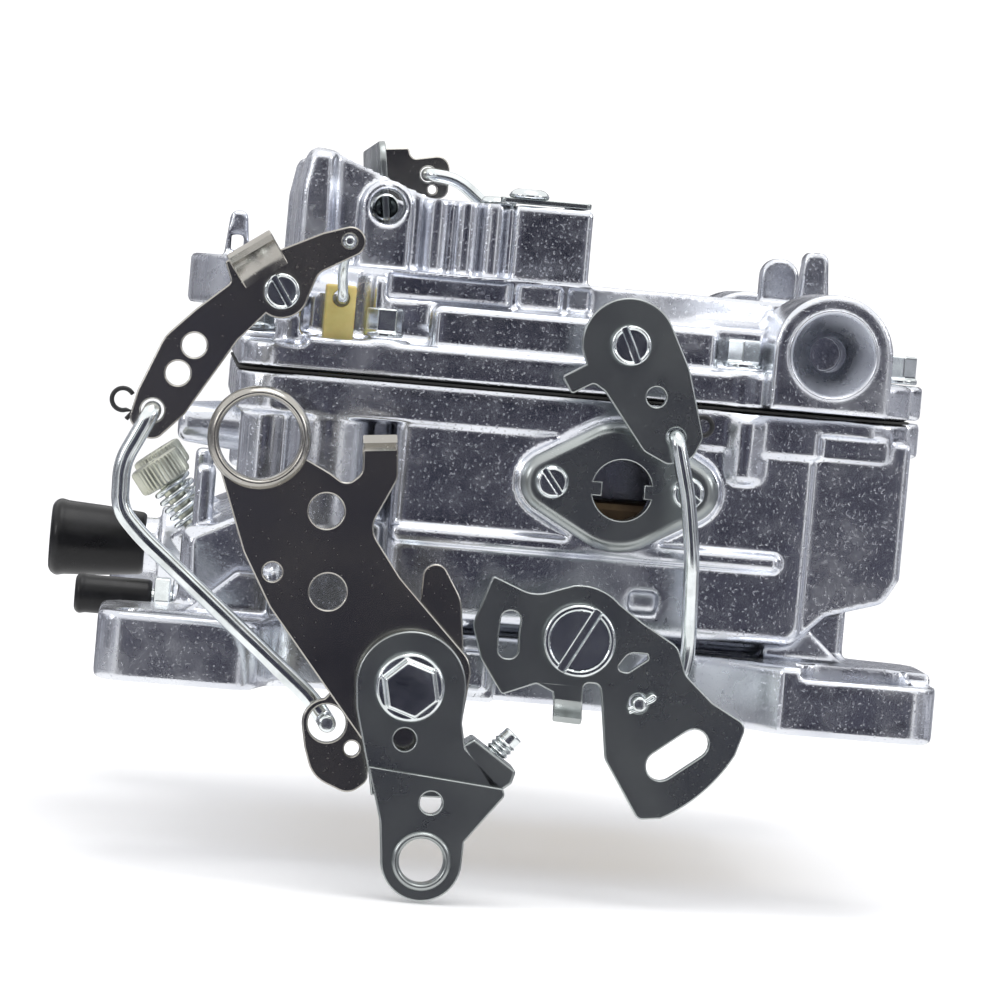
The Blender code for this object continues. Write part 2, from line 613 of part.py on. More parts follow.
# ---------------------------------------------------------------- throttle shafts
def throttle_shaft(name, x, near, far, bore_r):
    """A steel shaft through two bores, slotted for its plates."""
    shaft = cylinder(name, "bright_steel", (x, near, SHAFT_Z), (x, far, SHAFT_Z), SHAFT_R,
                     origin=(x, 0, SHAFT_Z))
    for _, side in sides():
        low, high = across(side, BORE_Y - bore_r - 0.2, BORE_Y + bore_r + 0.2)
        cut(shaft, block(f"{name}_slot_{low:.0f}", None, (x - 6, low, SHAFT_Z - 1.1),
                         (x + 6, high, SHAFT_Z + 1.1)))
    return shaft


def throttle_plates(prefix, x, bore_r):
    for name, side in sides():
        centre = (x, side * BORE_Y, SHAFT_Z)
        cylinder(f"{prefix}_throttle_plate_{name}", "brass", (x, side * BORE_Y, SHAFT_Z - 0.75),
                 (x, side * BORE_Y, SHAFT_Z + 0.75), bore_r - 0.4, segments=32, origin=centre)


def throttle_lever():
    """The big stamped lever: cable eye at the top, cranked over the shaft at the bottom."""
    eye = (-48.5, 44.4)
    shape = outline(arc(*eye, 8.7, -20, 200, 10)
                    + [(-54.6, 38.0), (-49.6, 24.8, 6), (-44.4, 15.8, 3), (-26.8, -5.5, 4), (-21, -10, 3),
                        (-10.8, -9.4, 4), (-9.0, 9.0, 5), (-22.6, 22.6, 6), (-28.5, 30.5, 4), (-24.4, 39.4, 3),
                        (-24.9, 45.8, 0.6), (-30.8, 45.8, 0.6), (-30.6, 39.8, 2), (-33, 37.5, 3),
                        (-36, 39.4, 2)])
    plate = prism("throttle_lever", "zinc_plate", "y",
                  [shape, circle(-36.1, 32.9, 3.0, 14), circle(-44.4, 21.8, 1.6, 10),
                   circle(-34.7, 19.2, 3.1, 14), circle(*THROTTLE, SHAFT_R + GAP)], *LAYER_THROTTLE,
                  origin=(THROTTLE[0], 0, THROTTLE[1]))
    collar = prism("eye_collar", None, "y", [circle(*eye, 8.4, 24)], LAYER_THROTTLE[0] - 2.2,
                   LAYER_THROTTLE[0] + 0.5)
    tab = block("cable_tab", None, (-30.5, LAYER_THROTTLE[0] - 2.4, 43.9),
                (-25.1, LAYER_THROTTLE[1] - 0.4, 45.7))
    add(plate, collar, tab)
    cut(plate, prism("eye_hole", None, "y", [circle(*eye, 6.9, 20)], -99, -85))


def front_lever():
    """The outer lever: idle-speed screw tab on its right, bushed eye at its foot."""
    upper = outline([(-25.2, -10.4), (-2.2, -11.6, 0.8), (-9.3, -5.2), (-10.2, -1.0)]
                    + arc(PRIMARY_X + 0.2, SHAFT_Z + 0.1, 9.4, 0, 180, 10) + [(-28.3, 0)])
    plate = prism("front_lever", "zinc_plate", "y",
                  [upper, circle(*THROTTLE, SHAFT_R + GAP), circle(-19.7, -4.5, 1.9, 12)], *LAYER_FRONT,
                  origin=(THROTTLE[0], 0, THROTTLE[1]))
    lower = outline([(-25.5, -9.4), (-22.8, -18.5)] + arc(-15.2, -24.8, 6.9, 180, 360, 8)
                    + [(-8.2, -21.0), (-1.9, -12.6, 1.2), (-2.4, -9.4)])
    foot = prism("front_lever_foot", None, "y",
                 [lower, circle(-14.4, -14.8, 1.9, 12)],
                 LAYER_FRONT[0] - 1.2, LAYER_FRONT[1] - 1.2)
    bush = prism("foot_bush", None, "y", [circle(-15.2, -24.8, 4.9, 20)], LAYER_FRONT[0] - 2.0,
                 LAYER_FRONT[1] - 0.9)
    tab = prism("idle_screw_tab", None, "y",
                [outline([(-9.9, -4.8), (-7.9, -3.4), (-0.3, -8.4), (-0.9, -10.6), (-2.4, -11.8),
                          (-4.5, -12.2)])],
                LAYER_FRONT[0], LAYER_FRONT[1] + 6.5)
    add(plate, foot, bush, tab)
    cut(plate, prism("foot_hole", None, "y", [circle(-15.2, -24.8, 3.8, 16)], -104, -90),
        cylinder("idle_screw_hole", None, idle_screw_point(-9), idle_screw_point(9), 2.4, segments=12))


def idle_screw_point(distance):
    """A point on the idle-speed screw's axis, measured from its tab towards the free end."""
    return (-5.1 + 0.66 * distance, -90.6, -7.6 + 0.75 * distance)


def idle_speed_screw():
    """The threaded stop screw through the outer lever's tab."""
    screw = cylinder("idle_speed_screw", "bright_steel", idle_screw_point(-4.4), idle_screw_point(6.6), 2.05,
                     segments=14, origin=idle_screw_point(0))
    add(screw, cylinder("idle_screw_head", None, idle_screw_point(-7.6), idle_screw_point(-4.2), 3.2,
                        segments=6))


def pump_arm():
    """The inner lever on the primary shaft: pump rod eye below, round lobe above."""
    shape = outline([(-10.0, -1.0, 3), (-10.6, 12.0, 5), (-11.6, 19.5, 6), (-15.4, 25.6, 2.4),
                     (-18.6, 24.6, 2.4), (-18.8, 14.0, 4), (-24.0, 12.0, 4)]
                    + arc(*PUMP_ROD_LOW, 4.3, 100, 190, 5)
                    + [(-36.3, -8.0), (-34.6, -13.0, 6), (-28.0, -15.6, 3), (-25.0, -13.0, 2),
                       (-25.2, -7.6, 4)])
    prism("pump_arm", "zinc_plate", "y",
          [shape, circle(*PUMP_ROD_LOW, 3.3, 16), circle(-28.2, -7.6, 1.2, 10),
           circle(*THROTTLE, SHAFT_R + GAP)],
          *LAYER_PUMP_ARM, origin=(THROTTLE[0], 0, THROTTLE[1]))


def lever_bolt():
    """The flanged hex bolt that clamps the levers on the primary shaft."""
    x, z = THROTTLE
    bolt = cylinder("lever_bolt", "bright_steel", (x, -98.4, z), (x, -96.7, z), 5.9, segments=24,
                    origin=(x, 0, z))
    add(bolt, cylinder("bolt_head", None, (x, -102.6, z), (x, -98.0, z), 4.7, segments=6))


def shaft_link():
    """The far-side cranks and link that open the secondaries with the primaries."""
    pins = []
    for name, (x, z) in (("primary_crank", THROTTLE), ("secondary_crank", SECONDARY)):
        pin = (x + CRANK_PIN[0], z + CRANK_PIN[1])
        pins.append(pin)
        crank = prism(name, "zinc_plate", "y",
                      [lever_outline((x, z), 7.0, pin, 3.6), circle(x, z, SHAFT_R + GAP, 16)], 67.0, 69.0,
                      origin=(x, 0, z))
        add(crank, cylinder(name + "_pin", None, (pin[0], 68.0, pin[1]), (pin[0], 72.4, pin[1]), 1.8,
                            segments=12))
    low, high = pins
    prism("secondary_link", "zinc_plate", "y",
          [slot((low[0] + high[0]) / 2, low[1], high[0] - low[0] + 6.4, 6.4, 0.0, 6), circle(*low, 2.1, 14),
           circle(*high, 2.1, 14)], 69.6, 71.4, origin=(low[0], 0, low[1]))


def throttle_group():
    throttle_shaft("primary_shaft", PRIMARY_X, -96.3, 69.4, PRIMARY_R)
    throttle_shaft("secondary_shaft", SECONDARY_X, -56.0, 69.4, SECONDARY_R)
    throttle_plates("primary", PRIMARY_X, PRIMARY_R)
    throttle_plates("secondary", SECONDARY_X, SECONDARY_R)
    throttle_lever()
    front_lever()
    pump_arm()
    lever_bolt()
    idle_speed_screw()
    shaft_link()


# ---------------------------------------------------------------- accelerator pump linkage
def pump_linkage():
    """Lever, rod, S link and plunger that squirt fuel as the throttle opens."""
    shape = outline(arc(*PUMP_PIVOT, 4.7, -120, -10, 5)
                    + [(-40.6, 73.0, 3)] + arc(-35.6, 78.9, 2.6, -60, 110, 6)
                    + [(-40.5, 80.0), (-47.8, 76.4, 1), (-49.6, 78.2, 0.5), (-56.8, 73.6, 0.5),
                       (-55.4, 70.2, 1), (-61.0, 65.2, 4), (-66.0, 60.0, 6), (-69.8, 50.5, 4),
                       (-71.0, 45.2, 2), (-66.8, 41.2, 2.5), (-61.4, 47.0, 3), (-53.4, 60.4, 5)])
    prism("pump_lever", "zinc_plate", "y",
          [shape, circle(*PUMP_PIVOT, 2.3, 14), circle(*PUMP_LINK_TOP, 1.2, 10),
           circle(-60.8, 58.9, 2.1, 12), circle(-63.2, 53.9, 2.1, 12), circle(*PUMP_ROD_TOP, 2.0, 12)],
          *LAYER_PUMP_LEVER, origin=(PUMP_PIVOT[0], 0, PUMP_PIVOT[1]))
    top = PUMP_ROD_TOP
    front = LAYER_PUMP_LEVER[0] - 2.0
    back = LAYER_PUMP_ARM[1] + 1.9
    route = [(top[0], -80.6, top[1]), (top[0], front, top[1]), (-71.4, front, 38.0), (-71.2, front, 30.0),
             (-67.0, front, 25.6), (PUMP_ROD_LOW[0] - 3.0, back, 0.2), (PUMP_ROD_LOW[0], back, PUMP_ROD_LOW[1]),
             (PUMP_ROD_LOW[0], -89.3, PUMP_ROD_LOW[1])]
    wire("pump_rod", "bright_steel", bend(route, 2.4), 1.55, origin=(top[0], 0, top[1]))
    x, z = PUMP_LINK_TOP
    low = PUMP_LINK_LOW[1]
    wire("pump_link", "bright_steel",
         bend([(x, -84.6, z), (x, -80.8, z), (x - 0.6, -76.0, z - 5.0), (x, -74.6, low), (x, -60.6, low)],
              1.6, 2), 0.9, origin=(x, 0, z))
    plunger = block("pump_plunger", "yellow_nylon", (-38.6, -65.4, 47.0), (-33.2, -59.8, 71.4))
    add(plunger, cylinder("plunger_cup", None, (-36, -62.5, 42.5), (-36, -62.5, 48.5), 4.9))
    cut(plunger, prism("link_hole", None, "y", [circle(*PUMP_LINK_LOW, 1.6, 12)], -80, -50))


# ---------------------------------------------------------------- fast idle linkage
def fast_idle_linkage():
    """Sector cam on the body, lever on the air horn and the rod between them."""
    pivot = (SECTOR_PIVOT[0], 0, SECTOR_PIVOT[1])
    shape = outline([(-6.1, 23.7, 0.6), (1.4, 20.8, 6)]
                    + arc(SECTOR_PIVOT[0], SECTOR_PIVOT[1], 9.5, 100, 45, 4)
                    + [(20.6, 17.6, 3), (27.0, 14.0, 3), (28.8, 9.2, 3), (33.8, 4.8, 3), (40.2, 1.4, 2)]
                    + arc(13.0, 9.5, 29.0, -28, -62, 5)
                    + [(22.6, -16.6, 1.5), (16.0, -6.6, 3), (14.6, 3.0), (14.0, 6.4, 1.2), (11.2, 6.4, 1),
                        (11.2, 2.0, 0.5), (6.4, 1.6, 0.5), (5.9, 4.4), (3.0, 5.6, 1), (-2.8, 3.2, 0.8),
                        (-7.0, 9.2, 3), (-8.9, 15.0, 3)])
    prism("fast_idle_sector", "zinc_plate", "y",
          [shape, slot(-2.3, 13.4, 9.0, 3.4, 88), circle(*SECTOR_PIVOT, 2.6, 16), circle(19.6, 10.8, 1.3, 8),
           circle(*SECTOR_PIN, 1.9, 14), slot(28.5, -4.8, 12.0, 5.0, 38)], *LAYER_SECTOR, origin=pivot)
    lever = outline(arc(IDLE_PIVOT[0] - 0.2, IDLE_PIVOT[1], 8.2, 30, 190, 8)
                    + [(6.8, 61.4), (2.8, 59.0, 0.6), (4.7, 56.0, 0.6), (8.4, 58.2, 1), (10.4, 57.0, 2),
                        (18.0, 47.2, 3), (22.4, 45.2, 2), (26.6, 46.6, 2.5), (28.2, 50.4, 2), (24.8, 62.0, 6)])
    prism("fast_idle_lever", "zinc_plate", "y",
          [lever, circle(*IDLE_PIVOT, 2.3, 14), circle(19.4, 56.8, 1.7, 10), circle(*IDLE_PIN, 1.7, 12)],
          *LAYER_IDLE_LEVER, origin=(IDLE_PIVOT[0], 0, IDLE_PIVOT[1]))
    front = LAYER_IDLE_LEVER[0] - 1.8
    back = LAYER_SECTOR[1] + 1.8
    route = [(IDLE_PIN[0], -78.6, IDLE_PIN[1]), (IDLE_PIN[0], front, IDLE_PIN[1]), (26.2, front, 40.0),
             (27.4, front, 30.0), (28.2, back, 13.0), (27.4, back, 8.0), (SECTOR_PIN[0], back, SECTOR_PIN[1]),
             (SECTOR_PIN[0], -83.8, SECTOR_PIN[1])]
    wire("fast_idle_rod", "bright_steel", bend(route, 2.6), 1.35, origin=(IDLE_PIN[0], 0, IDLE_PIN[1]))


# ---------------------------------------------------------------- choke
def lean(obj):
    """Turns a piece of the choke about its own origin, on the shaft, to its open angle."""
    obj.data.transform(Matrix.Rotation(math.radians(CHOKE_LEAN), 4, "Y"))
    return obj


def choke_group():
    """Shaft, plate and lever of the choke, standing open, and the rod to its thermostat."""
    pivot = (CHOKE_X, 0, CHOKE_Z)
    shaft = cylinder("choke_shaft", "bright_steel", (CHOKE_X, -45.4, CHOKE_Z), (CHOKE_X, 73.4, CHOKE_Z), 2.4,
                     segments=14, origin=pivot)
    cut(shaft, lean(block("choke_shaft_slot", None, (CHOKE_X - 0.9, -41.4, CHOKE_Z - 4),
                          (CHOKE_X + 0.9, 41.4, CHOKE_Z + 4), origin=pivot)))
    low, high = CHOKE_Z - 25, CHOKE_Z + 12
    lean(prism("choke_plate", "zinc_plate", "x",
               [outline([(-40.8, low, 3), (40.8, low, 3), (40.8, high, 5), (-40.8, high, 5)])],
               CHOKE_X - 0.6, CHOKE_X + 0.6, origin=pivot))
    x, z = CHOKE_PIN
    shape = outline(arc(CHOKE_X, CHOKE_Z, 4.6, 150, 330, 8)
                    + [(-17.0, 89.2, 2), (-11.6, 91.0, 2), (-11.8, 99.6, 2.5), (-19.6, 98.0, 2),
                       (-20.4, 100.6, 0.5), (-26.0, 99.8, 0.5), (-25.6, 96.0), (-31.0, 90.0)])
    prism("choke_lever", "zinc_plate", "y",
          [shape, circle(CHOKE_X, CHOKE_Z, 2.7, 14), circle(x, z, 1.7, 12),
           circle(-14.9, 92.2, 0.9, 8)], 69.6, 71.2, origin=pivot)
    low = THERMOSTAT_PIN
    wire("choke_rod", "bright_steel",
         bend([(x, 68.2, z), (x, 73.0, z), (x + 6.0, 73.0, z - 0.6), (x + 16.0, 73.0, z - 8.4),
               (low[0] - 6.0, 73.0, low[1] + 6.0), (low[0], 73.0, low[1]), (low[0], 77.8, low[1])], 2.6),
         1.35, origin=(x, 73.0, z))
    tx, tz = THERMOSTAT
    lever = prism("thermostat_lever", "zinc_plate", "y",
                  [lever_outline(THERMOSTAT, 5.0, low, 3.6), circle(*low, 1.9, 12)],
                  74.9, 76.5, origin=(tx, 0, tz))
    add(lever, cylinder("thermostat_pin", None, (tx, 76.0, tz), (tx, 86.0, tz), 2.1, segments=12))


def air_valve():
    """The weighted auxiliary valve over the secondary bores."""
    z = 51.0
    valve = cylinder("air_valve", "cast_aluminium", (SECONDARY_X, -47, z), (SECONDARY_X, 47, z), 1.9,
                     segments=12, origin=(SECONDARY_X, 0, z))
    for name, side in sides():
        add(valve, cylinder("valve_disc_" + name, None, (SECONDARY_X, side * BORE_Y, z - 0.7),
                            (SECONDARY_X, side * BORE_Y, z + 0.7), SECONDARY_R - 1.4, segments=32))


def floats():
    """The two fuel floats, hanging from their pins at the rear of the bowls."""
    for name, side in sides():
        low, high = across(side, 53.5, 66.0)
        pin = (56.0, 0, 50.5)
        drop = block("float_" + name, "brass", (-17, low, 22.5), (32, high, 37.5), origin=pin, bevel=1.5)
        middle = (low + high) / 2
        arm = prism("float_arm_" + name, None, "y",
                    [outline([(28, 30), (34, 28), (56, 46, 3), (59, 50), (56, 53.5, 2), (50, 48)])],
                    middle - 3.0, middle + 3.0)
        add(drop, arm)


def mixture_screws():
    """Two idle mixture screws in the front of the throttle block."""
    for name, side in sides():
        start, end = mixture_point(side, 0), mixture_point(side, 1)
        turned("idle_mixture_screw_" + name, "brass",
               [(0, 18.5), (0.6, 16.0), (1.8, 13.0), (1.8, 5.2), (4.4, 5.0), (5.2, 4.4), (5.2, 0.6),
                (4.6, 0), (0, 0)],
               start, end, 20, origin=start)


def build():
    for obj in list(bpy.data.objects):
        bpy.data.objects.remove(obj)
    main_body()
    air_horn()
    cover_gasket()
    cover_screws()
    side_plate()
    vacuum_fittings()
    pivot_screws()
    boosters()
    step_up_covers()
    pump_nozzle()
    choke_thermostat()
    throttle_group()
    pump_linkage()
    fast_idle_linkage()
    choke_group()
    air_valve()
    floats()
    mixture_screws()


build()
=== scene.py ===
"""Looks of a four-barrel carburetor: castings, stamped levers, rods, screws and caps around its fixed frame.

Frame: X runs along the carburetor, front at -X; Y runs across it, the throttle side at -Y; Z is up. Shapes
are worked out in millimetres, and add_piece turns them into metres.
"""
import json
import math

import bmesh
import bpy
import numpy as np
from mathutils import Matrix, Vector
from mathutils.geometry import tessellate_polygon


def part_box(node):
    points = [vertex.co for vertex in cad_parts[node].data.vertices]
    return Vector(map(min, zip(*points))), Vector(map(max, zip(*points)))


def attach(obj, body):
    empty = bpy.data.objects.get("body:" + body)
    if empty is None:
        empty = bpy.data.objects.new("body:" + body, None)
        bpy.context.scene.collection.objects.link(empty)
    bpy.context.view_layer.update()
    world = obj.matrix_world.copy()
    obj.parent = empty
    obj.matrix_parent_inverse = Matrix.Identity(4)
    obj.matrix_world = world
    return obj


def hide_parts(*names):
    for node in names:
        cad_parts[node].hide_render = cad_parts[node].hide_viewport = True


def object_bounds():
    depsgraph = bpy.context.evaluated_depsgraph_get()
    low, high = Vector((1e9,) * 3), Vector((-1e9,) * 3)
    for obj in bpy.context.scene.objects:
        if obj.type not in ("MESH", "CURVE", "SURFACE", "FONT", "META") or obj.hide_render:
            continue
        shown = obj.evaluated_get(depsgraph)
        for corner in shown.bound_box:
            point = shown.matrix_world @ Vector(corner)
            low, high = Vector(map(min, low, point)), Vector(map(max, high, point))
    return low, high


bl_info = {
    "name": "Carburetor Looks",
    "version": (1, 0, 0),
    "blender": (4, 5, 0),
    "location": "View3D > Sidebar > Carburetor",
    "description": "Finished castings, levers, rods, screws and caps of a four-barrel carburetor",
    "category": "Add Mesh",
}

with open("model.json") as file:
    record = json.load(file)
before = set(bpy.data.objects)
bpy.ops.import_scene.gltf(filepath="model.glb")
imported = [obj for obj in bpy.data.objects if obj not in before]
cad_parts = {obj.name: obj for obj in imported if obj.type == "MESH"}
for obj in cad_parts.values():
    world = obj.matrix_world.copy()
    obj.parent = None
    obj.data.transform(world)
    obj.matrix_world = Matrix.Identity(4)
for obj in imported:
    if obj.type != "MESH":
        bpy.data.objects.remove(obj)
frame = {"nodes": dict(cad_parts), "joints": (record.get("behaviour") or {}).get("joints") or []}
CAD_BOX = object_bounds()
MM = 0.001


# ---------------------------------------------------------------- places read from the frame
def pivot(joint):
    """A joint's point in millimetres."""
    return np.array(next(j["pos_m"] for j in frame["joints"] if j["name"] == joint)) / MM


def node_box(node):
    """A node's lowest and highest corner in millimetres."""
    low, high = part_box(node)
    return np.array(low) / MM, np.array(high) / MM


def node_middle(node):
    low, high = node_box(node)
    return (low + high) / 2


def xz(place):
    """The x and z of a place."""
    return place[0], place[2]


THROTTLE = pivot("throttle_turn")
SECONDARY = pivot("secondary_turn")
PUMP_PIVOT = pivot("pump_lever_turn")
PUMP_ROD_TOP = pivot("pump_rod_turn")
PUMP_LINK_TOP = pivot("pump_link_turn")
IDLE_PIVOT = pivot("fast_idle_lever_turn")
IDLE_PIN = pivot("fast_idle_rod_turn")
SECTOR_PIVOT = pivot("fast_idle_sector_turn")
CHOKE = pivot("choke_turn")
CHOKE_PIN = pivot("choke_rod_turn")
THERMOSTAT = pivot("thermostat_turn")

# Holes in the stampings, as (x, z).
PUMP_ROD_LOW = (-32.8, -3.6)
SECTOR_PIN = (21.0, 3.6)
THROTTLE_EYE = (-48.5, 44.4)
FOOT_EYE = (-15.2, -24.8)
SIDE_OPENING = (15.6, 39.9)

# The castings: air-cleaner ring, bores, pump well, fuel inlets and vacuum ports.
BODY_LOW, BODY_HIGH = node_box("main_body")
HORN_LOW, HORN_HIGH = node_box("air_horn")
RING_X, RING_R = 2.5, 65.1
BORE_Y = 24.0
PRIMARY_BORE, SECONDARY_BORE, SHAFT_R = 18.25, 21.4, 4.5
WELL_X, WELL_Y = -36, 62.5
INLET_X, INLET_Z, INLET_FACE = 49.9, 66.6, 79.05
LARGE_PORT_Z = 19.4
SMALL_PORT_Y, SMALL_PORT_Z = -30, 11.2

# Rounding of a drilled or cut edge.
SHARP = 0.1

# Directions: away from the throttle side, towards it, to the front, and up.
FAR_WAY, NEAR_WAY, AHEAD, UP = (0, 1, 0), (0, -1, 0), (-1, 0, 0), (0, 0, 1)

# Near and far face of each stamping, along Y.
FRONT_LEVER_Y, FRONT_FOOT_Y = (-96.4, -94.0), (-97.6, -95.2)
THROTTLE_LEVER_Y, PUMP_ARM_Y = (-92.4, -90.0), (-88.0, -86.0)
PUMP_LEVER_Y, IDLE_LEVER_Y = (-83.6, -82.0), (-81.6, -80.0)
CRANK_Y, CRANK_LINK_Y, CHOKE_LEVER_Y = (67.0, 69.0), (69.6, 71.4), (69.6, 71.2)

# Grid steps of the castings in the bores, and the axes of the idle screws.
BOOSTER_CELL, NOZZLE_CELL = 0.45, 0.3
MIXTURE_AXIS = np.array((0.605, 0.0, -0.797))
IDLE_AXIS = np.array((0.66, 0.0, 0.75)) / math.hypot(0.66, 0.75)


# ---------------------------------------------------------------- sizes and colours a user would change
class CarburetorSizes(bpy.types.PropertyGroup):
    """How finely the pieces are made."""

    casting_cell: bpy.props.FloatProperty(
        name="Casting cell", description="Grid step that the two castings are worked out on",
        default=0.62 * MM, min=0.3 * MM, max=2 * MM, subtype="DISTANCE", unit="LENGTH")
    fitting_cell: bpy.props.FloatProperty(
        name="Fitting cell", description="Grid step of the screws and other small solid pieces",
        default=0.16 * MM, min=0.08 * MM, max=1 * MM, subtype="DISTANCE", unit="LENGTH")
    sheet_edge: bpy.props.FloatProperty(
        name="Sheet edge", description="Radius of the stamped levers' edges",
        default=0.28 * MM, min=0.05 * MM, max=0.8 * MM, subtype="DISTANCE", unit="LENGTH")
    casting_faces: bpy.props.IntProperty(name="Casting faces", description="Triangles left on each casting",
                                         default=180000, min=20000, max=199000)


def colour_property(name, description, default):
    return bpy.props.FloatVectorProperty(name=name, description=description, default=default, size=3,
                                         min=0.0, max=1.0, subtype="COLOR")


class CarburetorColours(bpy.types.PropertyGroup):
    """Base colours of the finishes."""

    casting: colour_property("Castings", "Tumbled aluminium", (0.82, 0.84, 0.88))
    casting_dark: colour_property("Casting hollows", "Duller aluminium between the bright patches",
                                  (0.52, 0.54, 0.62))
    zinc: colour_property("Stampings", "Zinc-plated sheet steel", (0.50, 0.49, 0.46))
    bright: colour_property("Bright steel", "Rods, shafts and screws", (0.82, 0.86, 0.87))
    olive: colour_property("Yellow plating", "Dull plating of the mixture screws", (0.46, 0.47, 0.36))
    brass: colour_property("Brass", "Throttle plates and floats", (0.72, 0.55, 0.27))
    rubber: colour_property("Rubber", "Vacuum caps", (0.006, 0.006, 0.007))
    plastic: colour_property("Black plastic", "Thermostat cap", (0.012, 0.012, 0.013))
    nylon: colour_property("Nylon", "Pump plunger", (0.58, 0.50, 0.20))
    gasket: colour_property("Gasket", "Joint between the castings", (0.008, 0.008, 0.009))


def sizes():
    return bpy.context.scene.carburetor_sizes


def colour(name):
    return tuple(getattr(bpy.context.scene.carburetor_colours, name))


# ---------------------------------------------------------------- outlines
def arc(cx, cy, radius, start, end, steps=14):
    """Points of an arc: the centre plus the radius turned by evenly spaced angles, in degrees."""
    angles = np.radians(np.linspace(start, end, steps + 1))
    return [(cx + radius * math.cos(a), cy + radius * math.sin(a)) for a in angles]


def circle(cx, cy, radius, steps=40):
    return arc(cx, cy, radius, 0.0, 360.0 - 360.0 / steps, steps - 1)


def slot(cx, cy, length, width, angle=0.0, steps=10):
    """A round-ended slot, turned by angle degrees."""
    reach = (length - width) / 2
    dx, dy = reach * math.cos(math.radians(angle)), reach * math.sin(math.radians(angle))
    return (arc(cx + dx, cy + dy, width / 2, angle - 90, angle + 90, steps)
            + arc(cx - dx, cy - dy, width / 2, angle + 90, angle + 270, steps))


def outline(corners, step=9.0):
    """A closed outline from corners (a, b) or (a, b, radius); a radius becomes a tangent arc."""
    points = []
    count = len(corners)
    for i, corner in enumerate(corners):
        here = Vector(corner[:2])
        if len(corner) < 3:
            points.append(tuple(here))
            continue
        back = Vector(corners[i - 1][:2]) - here
        ahead = Vector(corners[(i + 1) % count][:2]) - here
        half = back.angle(ahead) / 2
        if half > math.radians(89.0):
            points.append(tuple(here))
            continue
        reach = min(corner[2] / math.tan(half), 0.49 * back.length, 0.49 * ahead.length)
        radius = reach * math.tan(half)
        middle = here + (back.normalized() + ahead.normalized()).normalized() * radius / math.sin(half)
        first = here + back.normalized() * reach - middle
        last = here + ahead.normalized() * reach - middle
        turn = math.atan2(first.x * last.y - first.y * last.x, first.dot(last))
        start = math.atan2(first.y, first.x)
        angles = start + turn * np.linspace(0.0, 1.0, max(2, round(abs(math.degrees(turn)) / step)) + 1)
        points += [(middle.x + radius * math.cos(a), middle.y + radius * math.sin(a)) for a in angles]
    return points


def box_outline(a0, b0, a1, b1, radius):
    return outline([(a0, b0, radius), (a1, b0, radius), (a1, b1, radius), (a0, b1, radius)])


def both_sides(corners):
    """Corners of one half of a plan (y below 0), followed by the same corners at +y, going back."""
    return corners + [(c[0], -c[1], *c[2:]) for c in reversed(corners)]


BOTH = (-1.0, 1.0)
SIDES = tuple(zip(("left", "right"), BOTH))


# ---------------------------------------------------------------- surfaces
def grid_faces(rows, columns, close_columns=False):
    """Quads between neighbouring points of a rows by columns grid, as an array of indices."""
    r = np.arange(rows - 1)
    c = np.arange(columns if close_columns else columns - 1)
    r, c = np.meshgrid(r, c, indexing="ij")
    r1, c1 = r + 1, (c + 1) % columns
    return np.stack([r * columns + c, r * columns + c1, r1 * columns + c1, r1 * columns + c],
                    -1).reshape(-1, 4)


def axes_along(direction):
    """Two unit vectors square to a direction."""
    forward = np.asarray(direction, float)
    forward = forward / np.linalg.norm(forward)
    helper = np.array((0.0, 0.0, 1.0)) if abs(forward[2]) < 0.9 else np.array((1.0, 0.0, 0.0))
    first = np.cross(helper, forward)
    first /= np.linalg.norm(first)
    return first, np.cross(forward, first), forward


def revolved(radii, heights, start, direction):
    """A surface around an axis: a row of radii, one for each segment, at each height along it."""
    first, second, forward = axes_along(direction)
    t = np.linspace(0.0, 2 * np.pi, radii.shape[1], endpoint=False)
    ring = np.cos(t)[:, None] * first + np.sin(t)[:, None] * second
    points = np.asarray(start, float) + heights[:, None, None] * forward + radii[..., None] * ring
    return points.reshape(-1, 3), grid_faces(*radii.shape, close_columns=True)


def turned(profile, start, direction, segments=40):
    """A turned surface: each point (r, h) of the profile goes round the axis at height h."""
    profile = np.asarray(profile, float)
    return revolved(np.repeat(profile[:, :1], segments, 1), profile[:, 1], start, direction)


def ribs(count, steps=6):
    """A wave from 0 to 1 and back for each of count ribs round a surface."""
    return 0.5 + 0.5 * np.cos(np.linspace(0.0, 2 * np.pi, count * steps, endpoint=False) * count)


def eased(before, here, after, radius, limit, steps):
    """A corner rounded by a quadratic curve that leaves its sides at radius, or nearer if they are short."""
    back, ahead = before - here, after - here
    a = here + back * min(radius / np.linalg.norm(back), limit)
    b = here + ahead * min(radius / np.linalg.norm(ahead), limit)
    t = np.linspace(0.0, 1.0, steps + 1)[:, None]
    return (1 - t) ** 2 * a + 2 * t * (1 - t) * here + t ** 2 * b


def rounded_profile(corners, steps=4):
    """A turned profile whose corners (r, h, radius) are rounded."""
    spots = [np.array(corner[:2], float) for corner in corners]
    parts = []
    for i, corner in enumerate(corners):
        plain = len(corner) < 3 or i in (0, len(corners) - 1)
        parts.append(spots[i][None] if plain else eased(*spots[i - 1:i + 2], corner[2], 0.48, steps))
    return np.concatenate(parts)


def lathe(corners, start, direction, segments=40):
    """A turned surface from a profile with rounded corners."""
    return turned(rounded_profile(corners), start, direction, segments)


def bend(points, radius, steps=7):
    """A route through the points with its corners rounded."""
    points = np.asarray(points, float)
    corners = [eased(*three, radius, 0.45, steps) for three in zip(points, points[1:], points[2:])]
    return np.concatenate([points[:1], *corners, points[-1:]])


